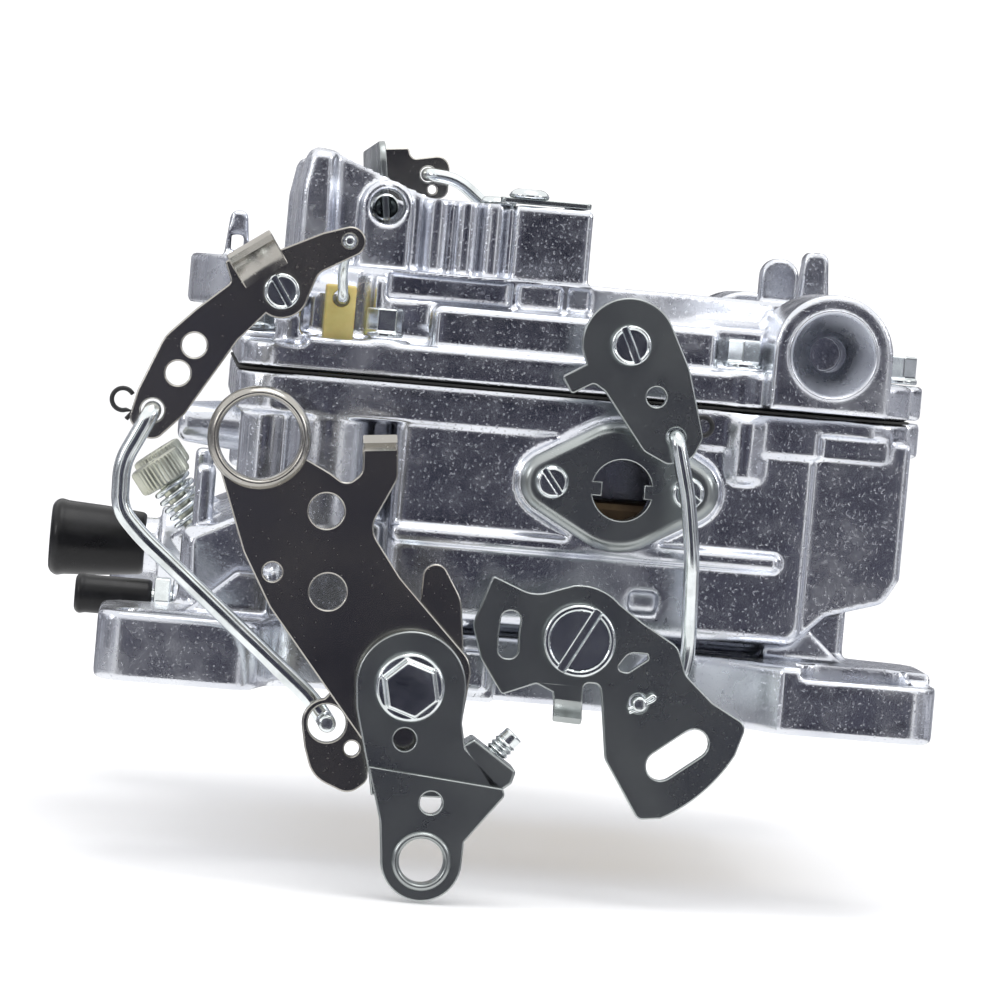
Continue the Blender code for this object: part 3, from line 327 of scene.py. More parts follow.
def tube(route, radius, segments=16, ends=0.35):
    """Round wire: circles carried along the route without twist, drawn in at its two ends."""
    route = np.asarray(route, float)
    tangent = np.gradient(route, axis=0)
    tangent /= np.linalg.norm(tangent, axis=1)[:, None]
    sides = [axes_along(tangent[0])[0]]
    for forward in tangent[1:]:
        side = sides[-1] - forward * (sides[-1] @ forward)
        sides.append(side / np.linalg.norm(side))
    lead = ends * radius
    steps = np.array([0.0, 0.0, 0.3 * lead, lead])[:, None]
    drawn = [0.0, radius - lead, radius - 0.3 * lead, radius]
    inner = range(1, len(route) - 1)
    route = np.concatenate([route[:1] + tangent[:1] * steps, route[1:-1],
                            route[-1:] - tangent[-1:] * steps[::-1]])
    radii = np.concatenate([drawn, np.full(len(inner), float(radius)), drawn[::-1]])
    rows = [0] * 4 + list(inner) + [-1] * 4
    first, second = np.array(sides)[rows], np.cross(tangent, sides)[rows]
    t = np.linspace(0.0, 2 * np.pi, segments, endpoint=False)
    ring = np.cos(t)[None, :, None] * first[:, None] + np.sin(t)[None, :, None] * second[:, None]
    points = route[:, None] + radii[:, None, None] * ring
    return points.reshape(-1, 3), grid_faces(len(route), segments, close_columns=True)


def coil(start, direction, length, radius, thickness, turns, closed=1.0):
    """A compression spring: a helix of the radius around the axis, its end turns closed up."""
    first, second, forward = axes_along(direction)
    t = np.linspace(0.0, 1.0, int(turns * 22) + 1)
    angle = 2 * np.pi * turns * t
    pitch = np.clip((t * turns - 0.5 * closed) / (turns - closed), 0.0, 1.0)
    height = thickness + pitch * (length - 2 * thickness)
    route = (np.asarray(start, float) + height[:, None] * forward
             + radius * (np.cos(angle)[:, None] * first + np.sin(angle)[:, None] * second))
    return tube(route, thickness, 10)


def inward(loop):
    """Unit steps into the material along a loop, square to its edges, longer at sharp corners."""
    edge = np.roll(loop, -1, 0) - loop
    edge /= np.maximum(np.linalg.norm(edge, axis=1), 1e-9)[:, None]
    normal = np.stack([-edge[:, 1], edge[:, 0]], 1)
    mitre = normal + np.roll(normal, 1, 0)
    length2 = np.maximum((mitre ** 2).sum(1), 0.6)
    return 2 * mitre / length2[:, None]


def wound(loop, anticlockwise):
    """A loop without repeated points, going round the asked way."""
    loop = np.asarray(loop, float)
    keep = np.ones(len(loop), bool)
    keep[1:] = np.linalg.norm(np.diff(loop, axis=0), axis=1) > 0.01
    loop = loop[keep]
    x, y = loop.T
    area = (x * np.roll(y, -1) - np.roll(x, -1) * y).sum()
    return loop if (area > 0) == anticlockwise else loop[::-1]


def edge_profile(low, high, edge, steps=3):
    """Inset and height of a sheet's cut edge: a quarter round, a straight wall and a quarter round."""
    a = np.radians(np.linspace(0.0, 90.0, steps + 1))
    inset = edge * (1 - np.sin(a))
    depth = edge * (1 - np.cos(a))
    return (np.concatenate([inset, inset[::-1]]),
            np.concatenate([low + depth, (high - depth)[::-1]]))


def sheet(loops, low, high, edge=None, rim=None, axis="y"):
    """A stamped sheet with holes: each loop's edge is a rounded profile carried along it, and the two faces
    are filled between the loops. rim, if given, is the outer loop's own (inset, height) profile."""
    edge = sizes().sheet_edge / MM if edge is None else edge
    points, faces, caps, start = [], [], ([], []), 0
    for number, loop in enumerate(loops):
        loop = wound(loop, number == 0)
        inset, height = edge_profile(low, high, edge)
        if number == 0 and rim is not None:
            inset, height = (np.array(v, float) for v in zip(*rim))
        step = inward(loop)
        flat = loop[None] + inset[:, None, None] * step[None]
        rows = np.concatenate([flat, np.broadcast_to(height[:, None, None], (*flat.shape[:2], 1))], 2)
        faces.append(grid_faces(len(inset), len(loop), close_columns=True)[:, ::-1] + start)
        caps[0].append((rows[0], start))
        caps[1].append((rows[-1], start + (len(inset) - 1) * len(loop)))
        points.append(rows.reshape(-1, 3))
        start += rows.shape[0] * rows.shape[1]
    for cap, flip in zip(caps, (False, True)):
        index = np.concatenate([first + np.arange(len(ring)) for ring, first in cap])
        triangles = np.array(tessellate_polygon([[Vector((*p[:2], 0.0)) for p in ring] for ring, _ in cap]))
        triangles = index[triangles]
        every = np.concatenate(points)
        a, b, c = (every[triangles[:, i], :2] for i in range(3))
        turn = (b - a)[:, 0] * (c - a)[:, 1] - (b - a)[:, 1] * (c - a)[:, 0]
        wrong = (turn > 0) != flip
        triangles[wrong] = triangles[wrong][:, ::-1]
        faces.append(np.concatenate([triangles, triangles[:, 2:]], 1))
    points = np.concatenate(points)
    if axis == "y":
        points = points[:, [0, 2, 1]]
        faces = [f[:, ::-1] for f in faces]
    elif axis == "x":
        points = points[:, [2, 0, 1]]
    return points, np.concatenate(faces)


def moved(surface, matrix):
    """A surface with its points taken through a 4 by 4 matrix."""
    points, faces = surface
    matrix = np.array(matrix)
    return points @ matrix[:3, :3].T + matrix[:3, 3], faces


def flap(first, second, spine, thickness=1.5):
    """A tab curled out of a lever's plane: the spine (out, y) thickened on both sides and carried from the
    point first to second, both (x, z). Out is square to that line, to its left."""
    spine = bend([(d, y, 0.0) for d, y in spine], 2.0, 4)[:, :2]
    along = np.gradient(spine, axis=0)
    along /= np.linalg.norm(along, axis=1)[:, None]
    side = np.stack([-along[:, 1], along[:, 0]], 1) * thickness / 2
    strip = np.concatenate([spine + side, (spine - side)[::-1]])
    start = np.array((first[0], 0.0, first[1]))
    run = np.array((second[0], 0.0, second[1])) - start
    length = np.linalg.norm(run)
    run /= length
    across_run = np.array((-run[2], 0.0, run[0]))
    matrix = np.eye(4)
    matrix[:3, 0], matrix[:3, 1], matrix[:3, 2], matrix[:3, 3] = across_run, (0.0, 1.0, 0.0), run, start
    points, faces = moved(sheet([strip], 0.0, length, 0.3, axis="z"), matrix)
    return points, faces if np.linalg.det(matrix[:3, :3]) > 0 else faces[:, ::-1]


def about(centre, angle, axis="Y"):
    """A turn in degrees about a line through centre."""
    centre = Vector(centre)
    return Matrix.Translation(centre) @ Matrix.Rotation(math.radians(angle), 4,
                                                        axis) @ Matrix.Translation(-centre)


# ---------------------------------------------------------------- solids worked out as distances
def smooth_min(a, b, blend):
    """The lesser of two distances, rounded off where they differ by less than blend."""
    if blend <= 0:
        return np.minimum(a, b)
    h = np.maximum(blend - np.abs(a - b), 0.0) / blend
    return np.minimum(a, b) - h * h * blend * 0.25


def rounded_corner(a, b, edge):
    """Distance to where two bounds meet, the corner between them rounded by edge."""
    a, b = a + edge, b + edge
    return np.hypot(np.maximum(a, 0), np.maximum(b, 0)) + np.minimum(np.maximum(a, b), 0) - edge


def rod(start, end, radius, edge=0.5, top=None):
    """A cylinder, or a cone if top gives its radius at the end, with rounded rims."""
    start, end = np.array(start, float), np.array(end, float)
    length = np.linalg.norm(end - start)
    forward = (end - start) / length
    top = radius if top is None else top
    lean = math.cos(math.atan2(top - radius, length))

    def distance(x, y, z):
        dx, dy, dz = x - start[0], y - start[1], z - start[2]
        along = dx * forward[0] + dy * forward[1] + dz * forward[2]
        out = np.sqrt(np.maximum(dx * dx + dy * dy + dz * dz - along * along, 0))
        side = (out - radius - (top - radius) * np.clip(along / length, 0, 1)) * lean
        return rounded_corner(side, np.abs(along - length / 2) - length / 2, edge)

    reach = max(radius, top)
    return np.minimum(start, end) - reach, np.maximum(start, end) + reach, distance


def cross_rod(place, near, far, radius, edge=0.5, top=None):
    """A rod along Y through a place, whose first number is x and last is z."""
    return rod((place[0], near, place[-1]), (place[0], far, place[-1]), radius, edge, top)


def upright(x, y, low, high, radius, edge=0.5, top=None):
    """A rod along Z."""
    return rod((x, y, low), (x, y, high), radius, edge, top)


def brick(low, high, edge=0.8):
    """A box with rounded edges and corners."""
    low, high = np.minimum(low, high).astype(float), np.maximum(low, high).astype(float)
    middle, half = (low + high) / 2, (high - low) / 2 - edge

    def distance(x, y, z):
        q = [np.abs(v - m) - h for v, m, h in zip((x, y, z), middle, half)]
        outside = np.sqrt(sum(np.maximum(v, 0) ** 2 for v in q))
        return outside + np.minimum(np.maximum(np.maximum(q[0], q[1]), q[2]), 0) - edge

    return low, high, distance


def outline_distance(a, b, corners):
    """Signed distance to a closed outline: the least over its edges, negative where a ray crosses it an odd
    number of times."""
    shape = np.broadcast(a, b).shape
    best, inside = np.full(shape, 1e9), np.zeros(shape, bool)
    corners = np.asarray(corners, float)
    for (ax, ay), (bx, by) in zip(corners, np.roll(corners, -1, axis=0)):
        ex, ey = bx - ax, by - ay
        t = np.clip(((a - ax) * ex + (b - ay) * ey) / max(ex * ex + ey * ey, 1e-12), 0, 1)
        best = np.minimum(best, (a - ax - t * ex) ** 2 + (b - ay - t * ey) ** 2)
        if ey:
            inside ^= ((ay > b) != (by > b)) & (a < ex * (b - ay) / ey + ax)
    best = np.sqrt(best)
    return np.where(inside, -best, best)


def slab(axis, corners, low, high, edge=0.8):
    """An outline carried straight along an axis, its rims rounded. The outline lies in the other two axes."""
    number = "xyz".index(axis)
    others = [i for i in range(3) if i != number]
    corners = np.asarray([c[:2] for c in corners], float)
    first, last = np.zeros(3), np.zeros(3)
    first[others], last[others] = corners.min(0), corners.max(0)
    first[number], last[number] = min(low, high), max(low, high)

    def distance(x, y, z):
        spot = (x, y, z)
        flat = outline_distance(spot[others[0]], spot[others[1]], corners)
        depth = np.abs(spot[number] - (low + high) / 2) - abs(high - low) / 2
        return rounded_corner(flat, depth, edge)

    return first, last, distance


class Solid:
    """A solid held as signed distances on a regular grid, negative inside, in millimetres."""

    FAR = 9.0
    CORNERS = np.array([(i, j, k) for i in (0, 1) for j in (0, 1) for k in (0, 1)])

    def __init__(self, low, high, cell):
        self.low, self.cell = np.asarray(low, float) - 2 * cell, cell
        self.axes = [np.arange(a, b + 3 * cell, cell) for a, b in zip(self.low, high)]
        self.depth = np.full([len(a) for a in self.axes], self.FAR, np.float32)

    def window(self, low, high, margin):
        """The part of the grid within margin of a box, with its coordinates."""
        pick = tuple(slice(int(np.searchsorted(a, l - margin)), max(int(np.searchsorted(a, h + margin)), 1))
                     for a, l, h in zip(self.axes, low, high))
        x, y, z = (a[s] for a, s in zip(self.axes, pick))
        return pick, (x[:, None, None], y[None, :, None], z[None, None, :])

    def add(self, *shapes, blend=0.8):
        for low, high, distance in shapes:
            pick, spot = self.window(low, high, 3.0 + blend)
            self.depth[pick] = smooth_min(self.depth[pick], distance(*spot), blend)
        return self

    def cut(self, *shapes, blend=0.5):
        for low, high, distance in shapes:
            pick, spot = self.window(low, high, 3.0 + blend)
            self.depth[pick] = -smooth_min(-self.depth[pick], distance(*spot), blend)
        return self

    def surface(self):
        """Surface nets: a point in each cell whose corners differ in sign, at the mean of the crossings on
        its edges, and a quad around each grid line that changes sign."""
        inside = self.depth < 0
        shape = np.array(inside.shape) - 1
        count = sum(inside[i:i + shape[0], j:j + shape[1], k:k + shape[2]].astype(np.uint8)
                    for i, j, k in self.CORNERS)
        cells = np.argwhere((count > 0) & (count < 8))
        index = np.full(shape, -1, np.int64)
        index[tuple(cells.T)] = np.arange(len(cells))
        values = [self.depth[tuple((cells + corner).T)] for corner in self.CORNERS]
        total, crossings = np.zeros((len(cells), 3)), np.zeros(len(cells))
        for i, a in enumerate(self.CORNERS):
            for j, b in enumerate(self.CORNERS):
                if j <= i or np.abs(a - b).sum() != 1:
                    continue
                crossed = (values[i] < 0) != (values[j] < 0)
                t = np.where(crossed, values[i] / np.where(crossed, values[i] - values[j], 1.0), 0.0)
                total += crossed[:, None] * (a + t[:, None] * (b - a))
                crossings += crossed
        points = self.low + self.cell * (cells + total / crossings[:, None])
        faces = []
        for axis in range(3):
            u, v = (axis + 1) % 3, (axis + 2) % 3
            step = np.eye(3, dtype=int)
            first = inside[tuple(slice(0, shape[i]) if i == axis else slice(1, shape[i]) for i in range(3))]
            second = inside[tuple(slice(1, None) if i == axis else slice(1, shape[i]) for i in range(3))]
            lines = np.argwhere(first != second)
            outward = first[tuple(lines.T)]
            lines[:, u] += 1
            lines[:, v] += 1
            around = [lines - step[u] - step[v], lines - step[v], lines, lines - step[u]]
            quads = np.stack([index[tuple(a.T)] for a in around], 1)
            faces.append(np.where(outward[:, None], quads, quads[:, ::-1]))
        return points, np.concatenate(faces)


def small_solid(low, high):
    return Solid(low, high, sizes().fitting_cell / MM)


# ---------------------------------------------------------------- pieces
def new_mesh(name, points, faces, material, merge=2e-7):
    """A mesh of quads in metres: points that meet are merged, and faces left without area go."""
    mesh = bpy.data.meshes.new(name)
    mesh.vertices.add(len(points))
    mesh.vertices.foreach_set("co", points.astype(np.float32).ravel())
    mesh.loops.add(faces.size)
    mesh.loops.foreach_set("vertex_index", faces.astype(np.int32).ravel())
    mesh.polygons.add(len(faces))
    mesh.polygons.foreach_set("loop_start", np.arange(0, faces.size, 4, dtype=np.int32))
    mesh.update(calc_edges=True)
    work = bmesh.new()
    work.from_mesh(mesh)
    bmesh.ops.remove_doubles(work, verts=work.verts, dist=merge)
    bmesh.ops.dissolve_degenerate(work, edges=work.edges, dist=1e-8)
    work.to_mesh(mesh)
    work.free()
    mesh.materials.append(material)
    return mesh


def placed(name, data):
    """A new object in the scene."""
    obj = bpy.data.objects.new(name, data)
    bpy.context.scene.collection.objects.link(obj)
    return obj


def add_piece(name, surfaces, look, body, nodes=(), sharp=38.0, faces_left=None):
    """One object from surfaces in millimetres: merged, in metres, shaded, thinned if faces_left is given, and
    riding on its body in place of the CAD nodes."""
    starts = np.cumsum([0] + [len(points) for points, _ in surfaces])
    points = np.concatenate([points for points, _ in surfaces]) * MM
    faces = np.concatenate([faces + start for (_, faces), start in zip(surfaces, starts)])
    obj = placed(name, new_mesh(name, points, faces, finish(look)))
    if faces_left:
        thin = obj.modifiers.new("thin", "DECIMATE")
        thin.ratio = min(1.0, faces_left / (2 * len(faces)))
        graph = bpy.context.evaluated_depsgraph_get()
        full, obj.data = obj.data, bpy.data.meshes.new_from_object(obj.evaluated_get(graph))
        obj.modifiers.clear()
        bpy.data.meshes.remove(full)
        obj.data.name = name
    obj.data.shade_smooth()
    obj.data.set_sharp_from_angle(angle=math.radians(sharp))
    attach(obj, body)
    if nodes:
        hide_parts(*nodes)


def stamping(name, surfaces, look, body, nodes, sharp=34):
    """A piece of stamped sheet."""
    add_piece(name, surfaces, look, body, nodes, sharp)


def wire(name, route, radius, segments, body, nodes=(), look="steel", sharp=50):
    """A piece of round wire."""
    add_piece(name, [tube(route, radius, segments)], look, body, nodes, sharp)


def bright_screw(name, surfaces, body, nodes=(), sharp=32):
    """A steel screw, or a set of them."""
    add_piece(name, surfaces, "steel", body, nodes, sharp)


def finish_node(node, look):
    """Gives a CAD node that keeps its own shape a better finish."""
    data = frame["nodes"][node].data
    data.materials.clear()
    data.materials.append(finish(look))
    data.shade_smooth()
    data.set_sharp_from_angle(angle=math.radians(30))


# ---------------------------------------------------------------- finishes
class Finish:
    """A node tree being built around one Principled shader."""

    def __init__(self, name, colour_rgb, roughness, metallic, **constants):
        self.material = bpy.data.materials.new(name)
        self.material.use_nodes = True
        self.tree = self.material.node_tree
        self.shader = self.tree.nodes["Principled BSDF"]
        self.set(Metallic=metallic, Roughness=roughness)
        self.shader.inputs["Base Color"].default_value = (*colour_rgb, 1.0)
        for key, value in constants.items():
            self.shader.inputs[key.replace("_", " ")].default_value = value
        self.place = self.tree.nodes.new("ShaderNodeTexCoord").outputs["Object"]

    def set(self, **values):
        for key, value in values.items():
            self.shader.inputs[key].default_value = value

    def link(self, output, node, socket):
        self.tree.links.new(output, node.inputs[socket])

    def noise(self, scale, detail=3.0, stretch=None):
        """Even noise in object space; scale is blobs a metre, stretch squeezes it along an axis."""
        node = self.tree.nodes.new("ShaderNodeTexNoise")
        node.inputs["Scale"].default_value = scale
        node.inputs["Detail"].default_value = detail
        node.inputs["Roughness"].default_value = 0.55
        source = self.place
        if stretch:
            mapping = self.tree.nodes.new("ShaderNodeMapping")
            mapping.inputs["Scale"].default_value = stretch
            self.link(source, mapping, "Vector")
            source = mapping.outputs["Vector"]
        self.link(source, node, "Vector")
        return node.outputs["Fac"]

    def span(self, value, low, high, to_low=0.0, to_high=1.0):
        """A value between low and high, spread to the new range."""
        node = self.tree.nodes.new("ShaderNodeMapRange")
        for socket, number in (("From Min", low), ("From Max", high), ("To Min", to_low),
                               ("To Max", to_high)):
            node.inputs[socket].default_value = number
        self.link(value, node, "Value")
        return node.outputs["Result"]

    def math(self, operation, a, b):
        node = self.tree.nodes.new("ShaderNodeMath")
        node.operation = operation
        for socket, value in enumerate((a, b)):
            if isinstance(value, (int, float)):
                node.inputs[socket].default_value = value
            else:
                self.link(value, node, socket)
        return node.outputs["Value"]

    def blend_colours(self, factor, first, second):
        node = self.tree.nodes.new("ShaderNodeMix")
        node.data_type = "RGBA"
        node.inputs["A"].default_value = (*first, 1.0)
        node.inputs["B"].default_value = (*second, 1.0)
        self.link(factor, node, "Factor")
        self.link(node.outputs["Result"], self.shader, "Base Color")

    def roughness(self, value):
        self.link(value, self.shader, "Roughness")

    def bump(self, height, distance_mm, strength=1.0):
        node = self.tree.nodes.new("ShaderNodeBump")
        node.inputs["Distance"].default_value = distance_mm * MM
        node.inputs["Strength"].default_value = strength
        self.link(height, node, "Height")
        self.link(node.outputs["Normal"], self.shader, "Normal")


FINISHES = {}


def finish(name):
    """The named finish, made on first use."""
    if name not in FINISHES:
        FINISHES[name] = MAKERS[name]()
    return FINISHES[name]


def tumbled_aluminium():
    """Bright die casting: shallow waves, fine pits, and rougher patches where the tumbling did not reach."""
    f = Finish("tumbled_aluminium", colour("casting"), 0.2, 1.0)
    waves = f.noise(70, 2.0)
    patches = f.span(f.noise(38, 3.0), 0.48, 0.70)
    pits = f.span(f.noise(1900, 1.0), 0.62, 0.72)
    grain = f.noise(3200, 2.0)
    f.roughness(f.math("ADD", f.span(f.noise(240, 3.0), 0.3, 0.7, 0.16, 0.27),
                       f.math("MULTIPLY", patches, 0.12)))
    f.blend_colours(f.math("MAXIMUM", f.math("MULTIPLY", pits, 0.6), f.span(waves, 0.3, 0.7, 0.0, 0.55)),
                    colour("casting"), colour("casting_dark"))
    rough = f.math("MULTIPLY", f.math("ADD", f.math("MULTIPLY", patches, 0.7), 0.3), grain)
    f.bump(f.math("SUBTRACT", f.math("ADD", rough, f.math("MULTIPLY", waves, 3.0)),
                  f.math("MULTIPLY", pits, 0.8)), 0.06, 0.5)
    return f.material


def zinc_sheet(name, colour_rgb, darker, low_rough, high_rough):
    """Zinc-plated sheet: long faint rolling marks, clouded plating and a scatter of fine nicks."""
    f = Finish(name, colour_rgb, 0.2, 1.0)
    clouds = f.noise(55, 4.0)
    rolled = f.noise(700, 3.0, stretch=(0.2, 1.0, 1.0))
    nicks = f.span(f.noise(1700, 1.0), 0.70, 0.80)
    f.roughness(f.math("ADD", f.span(clouds, 0.3, 0.7, low_rough, high_rough),
                       f.math("MULTIPLY", nicks, 0.15)))
    f.blend_colours(f.span(clouds, 0.3, 0.75), colour_rgb, darker)
    f.bump(f.math("SUBTRACT", f.math("ADD", f.math("MULTIPLY", rolled, 0.6), f.math("MULTIPLY", clouds, 6.0)),
                  nicks), 0.011, 0.5)
    return f.material


def plain_finish(name, first, second, metallic, gloss, clouds, relief, stretch=None, **constants):
    """A finish from three noises, each given by its scale and detail: gloss, with its lowest and highest
    roughness; clouds, with the span that goes from the first colour to the second; and relief, with its depth
    in millimetres and its strength."""
    f = Finish(name, first, gloss[2], metallic, **constants)
    f.roughness(f.span(f.noise(*gloss[:2], stretch), 0.3, 0.7, *gloss[2:]))
    f.blend_colours(f.span(f.noise(*clouds[:2], stretch), *clouds[2:]), first, second)
    f.bump(f.noise(*relief[:2], stretch), *relief[2:])
    return f.material


MAKERS = {
    "casting": tumbled_aluminium,
    "dark_zinc": lambda: zinc_sheet("dark_zinc_sheet", colour("zinc"), (0.38, 0.36, 0.33), 0.15, 0.27),
    "grey_zinc": lambda: zinc_sheet("grey_zinc_sheet", (0.46, 0.49, 0.485), (0.30, 0.32, 0.32), 0.22, 0.36),
    "plain_casting": lambda: plain_finish(
        "plain_casting", (0.66, 0.66, 0.67), (0.48, 0.48, 0.49), 1.0,
        (1800, 3, 0.32, 0.5), (160, 3, 0.35, 0.7), (1800, 3, 0.04, 0.5)),
    "steel": lambda: plain_finish(
        "bright_steel", colour("bright"), (0.60, 0.64, 0.64), 1.0,
        (260, 3, 0.10, 0.24), (200, 3, 0.4, 0.75), (1500, 3, 0.012, 0.6)),
    "olive": lambda: plain_finish(
        "olive_plating", colour("olive"), (0.66, 0.67, 0.60), 1.0,
        (350, 3, 0.24, 0.42), (350, 3, 0.0, 1.0), (2200, 2, 0.015, 0.5)),
    "brass": lambda: plain_finish(
        "brass", colour("brass"), (0.50, 0.36, 0.16), 1.0,
        (400, 3, 0.22, 0.4), (130, 4, 0.35, 0.7), (1800, 2, 0.01, 0.5)),
    # Float brass darkened to painted shade: the floats show only through the side plate's opening, inside the
    # shaded bowl.
    "aged_brass": lambda: plain_finish(
        "aged_brass", (0.20, 0.14, 0.08), (0.10, 0.07, 0.05), 1.0,
        (140, 4, 0.42, 0.6), (140, 4, 0.35, 0.7), (1800, 2, 0.01, 0.5)),
    "rubber": lambda: plain_finish(
        "black_rubber", colour("rubber"), (0.016, 0.016, 0.018), 0.0,
        (240, 4, 0.26, 0.42), (240, 4, 0.5, 0.8), (1600, 3, 0.012, 0.5), Specular_IOR_Level=0.3),
    "plastic": lambda: plain_finish(
        "black_plastic", colour("plastic"), (0.022, 0.022, 0.024), 0.0,
        (2400, 2, 0.34, 0.48), (150, 3, 0.0, 1.0), (2400, 2, 0.02, 0.6), IOR=1.5),
    "nylon": lambda: plain_finish(
        "yellow_nylon", colour("nylon"), (0.46, 0.38, 0.12), 0.0,
        (260, 3, 0.30, 0.45), (260, 3, 0.35, 0.75), (1400, 2, 0.01, 0.4),
        Subsurface_Weight=0.35, Subsurface_Scale=0.002),
    "gasket": lambda: plain_finish(
        "gasket_fibre", colour("gasket"), (0.03, 0.03, 0.028), 0.0,
        (1500, 4, 0.65, 0.9), (1500, 4, 0.0, 1.0), (1500, 4, 0.03, 0.6), (0.3, 1.0, 3.0)),
}


# ---------------------------------------------------------------- castings
def body_plan():
    """Plan of the joint between the two castings."""
    return outline(both_sides([(-53.0, -20.0, 4), (-53.0, -71.0, 8), (66.5, -71.0, 9)]))


def flange_plan():
    """Plan of the base flange: four stud ears, drawn in between them."""
    return outline(both_sides([
        (-56.0, -46.0, 3), (-73.5, -50.0, 6), (-73.5, -80.0, 5), (-46.0, -80.0, 5), (-42.0, -64.0, 6),
        (26.0, -63.0, 6), (31.0, -65.0, 5), (46.0, -80.0, 0.8), (73.5, -80.0, 5), (73.5, -50.0, 6),
        (60.0, -46.0, 3)]))


def diamond(grow=0.0):
    """Outline of the two-screw side plate."""
    left, right, middle = (3.4, 40.2), (27.0, 40.6), (15.1, 40.4)
    return (arc(*left, 5.6 + grow, 118, 242) + arc(*middle, 11.4 + grow, 242, 298)
            + arc(*right, 5.6 + grow, -62, 62) + arc(*middle, 11.4 + grow, 62, 118))


def mixture_point(side, distance):
    """A point on an idle mixture screw's axis, measured down from its head's top."""
    top = pivot("mixture_left_turn" if side < 0 else "mixture_right_turn")
    return top + distance * MIXTURE_AXIS


def make_main_body():
    """The lower casting, from blocks, bosses and ribs blended by small fillets."""
    s = Solid(BODY_LOW, BODY_HIGH, sizes().casting_cell / MM)
    s.add(slab("z", flange_plan(), 0.0, 12.0, 1.2), blend=0)
    s.add(slab("y", outline([(-58, 6), (60, 6), (60, 34), (-48, 34), (-50, 29), (-59, 24.5, 2)]), -52, 52,
               1.2), blend=1.5)
    s.add(slab("y", outline([(-24.5, 17.5, 2), (-21, 14.5), (48, 14.5, 2), (54, 20.5, 1), (64, 23.5, 3),
                             (66.5, 28, 2), (66.5, 52), (-24.5, 52)]), -70.4, 70.4, 2.6), blend=1.2)
    s.add(slab("z", outline(both_sides([(-50, -20), (-50, -54, 6), (-20, -58)])), 30.0, 50.0, 1.0), blend=1.5)
    for side in BOTH:
        s.cut(brick((49.2, side * 69.2, 10), (80, side * 84, 52.0), 0.4), blend=0.4)
        s.cut(brick((-60, side * 67.0, 24), (-26.4, side * 84, 48.2), 0.4), blend=0.4)
    s.add(slab("z", body_plan(), 48.3, 55.3, 0.7), blend=0.5)
    for side in BOTH:
        s.cut(brick((50.0, side * 69.6, 46), (80, side * 84, 52.4), 0.3), blend=0.3)
        s.add(upright(WELL_X, side * WELL_Y, 28, 52, 8.2, 1.5), upright(-47.0, side * 62.0, 33, 52, 4.6, 1.5),
              upright(-41.5, side * 57.0, 12, 50, 4.0, 1.2),
              upright(36.9, side * 67.6, 42.6, 54.6, 4.3, 1.6, top=4.6),
              brick((36.9, side * 60, 48.0), (49.6, side * 70.9, 54.0), 0.6),
              upright(66.5, side * 45, 49, 55.3, 4.6, 0.6),
              cross_rod(THROTTLE, side * 40, side * 65.5, 7.6, 0.8),
              cross_rod(SECONDARY, side * 40, side * 65.5, 7.6, 0.8), blend=0.9)
        s.add(brick((-23.9, side * 64, 27.5), (44.7, side * 71.7, 30.8), 1.3), blend=0.5)
        for x in (-55, 55):
            web = [(math.copysign(44, x), 10), (math.copysign(60.5, x), 10), (math.copysign(50, x), 19.5),
                   (math.copysign(44, x), 19.5)]
            s.add(slab("y", web, side * 56.5, side * 63.5, 0.6), blend=1.2)
        s.add(cross_rod((-10.0, 15.0), side * 60, side * 66.2, 1.9, 0.5),
              cross_rod((39.9, 3.4), side * 60, side * 64.6, 2.4, 0.3),
              brick((-9.2, side * 58, 2.2), (-4.8, side * 66.6, 9.2), 0.6), blend=0.4)
        s.add(rod(mixture_point(side, 13.2), mixture_point(side, 22.0), 5.2, 0.6), blend=1.4)
        s.add(brick((-58.4, side * 33, 24), (-54.8, side * 41, 37), 1.2), blend=0.9)
        s.add(brick((-60, side * 44, 11), (-47, side * 50, 26), 1.5), blend=2.0)
    s.add(cross_rod(SECTOR_PIVOT, -60, -79.6, 4.6, 0.4),
          rod((-52, 0, LARGE_PORT_Z), (-64, 0, LARGE_PORT_Z), 7.5, 0.8),
          rod((-56, 0, LARGE_PORT_Z), (-80, 0, LARGE_PORT_Z), 5.0, 0.5),
          rod((-52, SMALL_PORT_Y, SMALL_PORT_Z), (-60.9, SMALL_PORT_Y, SMALL_PORT_Z), 4.0, 0.6),
          rod((-48, -14, 43.6), (-62.4, -14, 43.6), 5.0, 1.6, top=3.6),
          slab("y", box_outline(2, 27, 34, 37, 3), 60, 78.7, 0.6), slab("y", diamond(0.6), -71.8, -60, 0.3),
          brick((60, -42, 34), (70.6, -36, 49), 0.8), brick((60, 36, 34), (70.6, 42, 49), 0.8),
          brick((60, -8, 26), (69.0, 8, 50), 1.2), blend=0.8)
    cut_main_body(s)
    add_piece("main_body_casting", [s.surface()], "casting", "root", ["main_body"], 50.0,
              sizes().casting_faces)


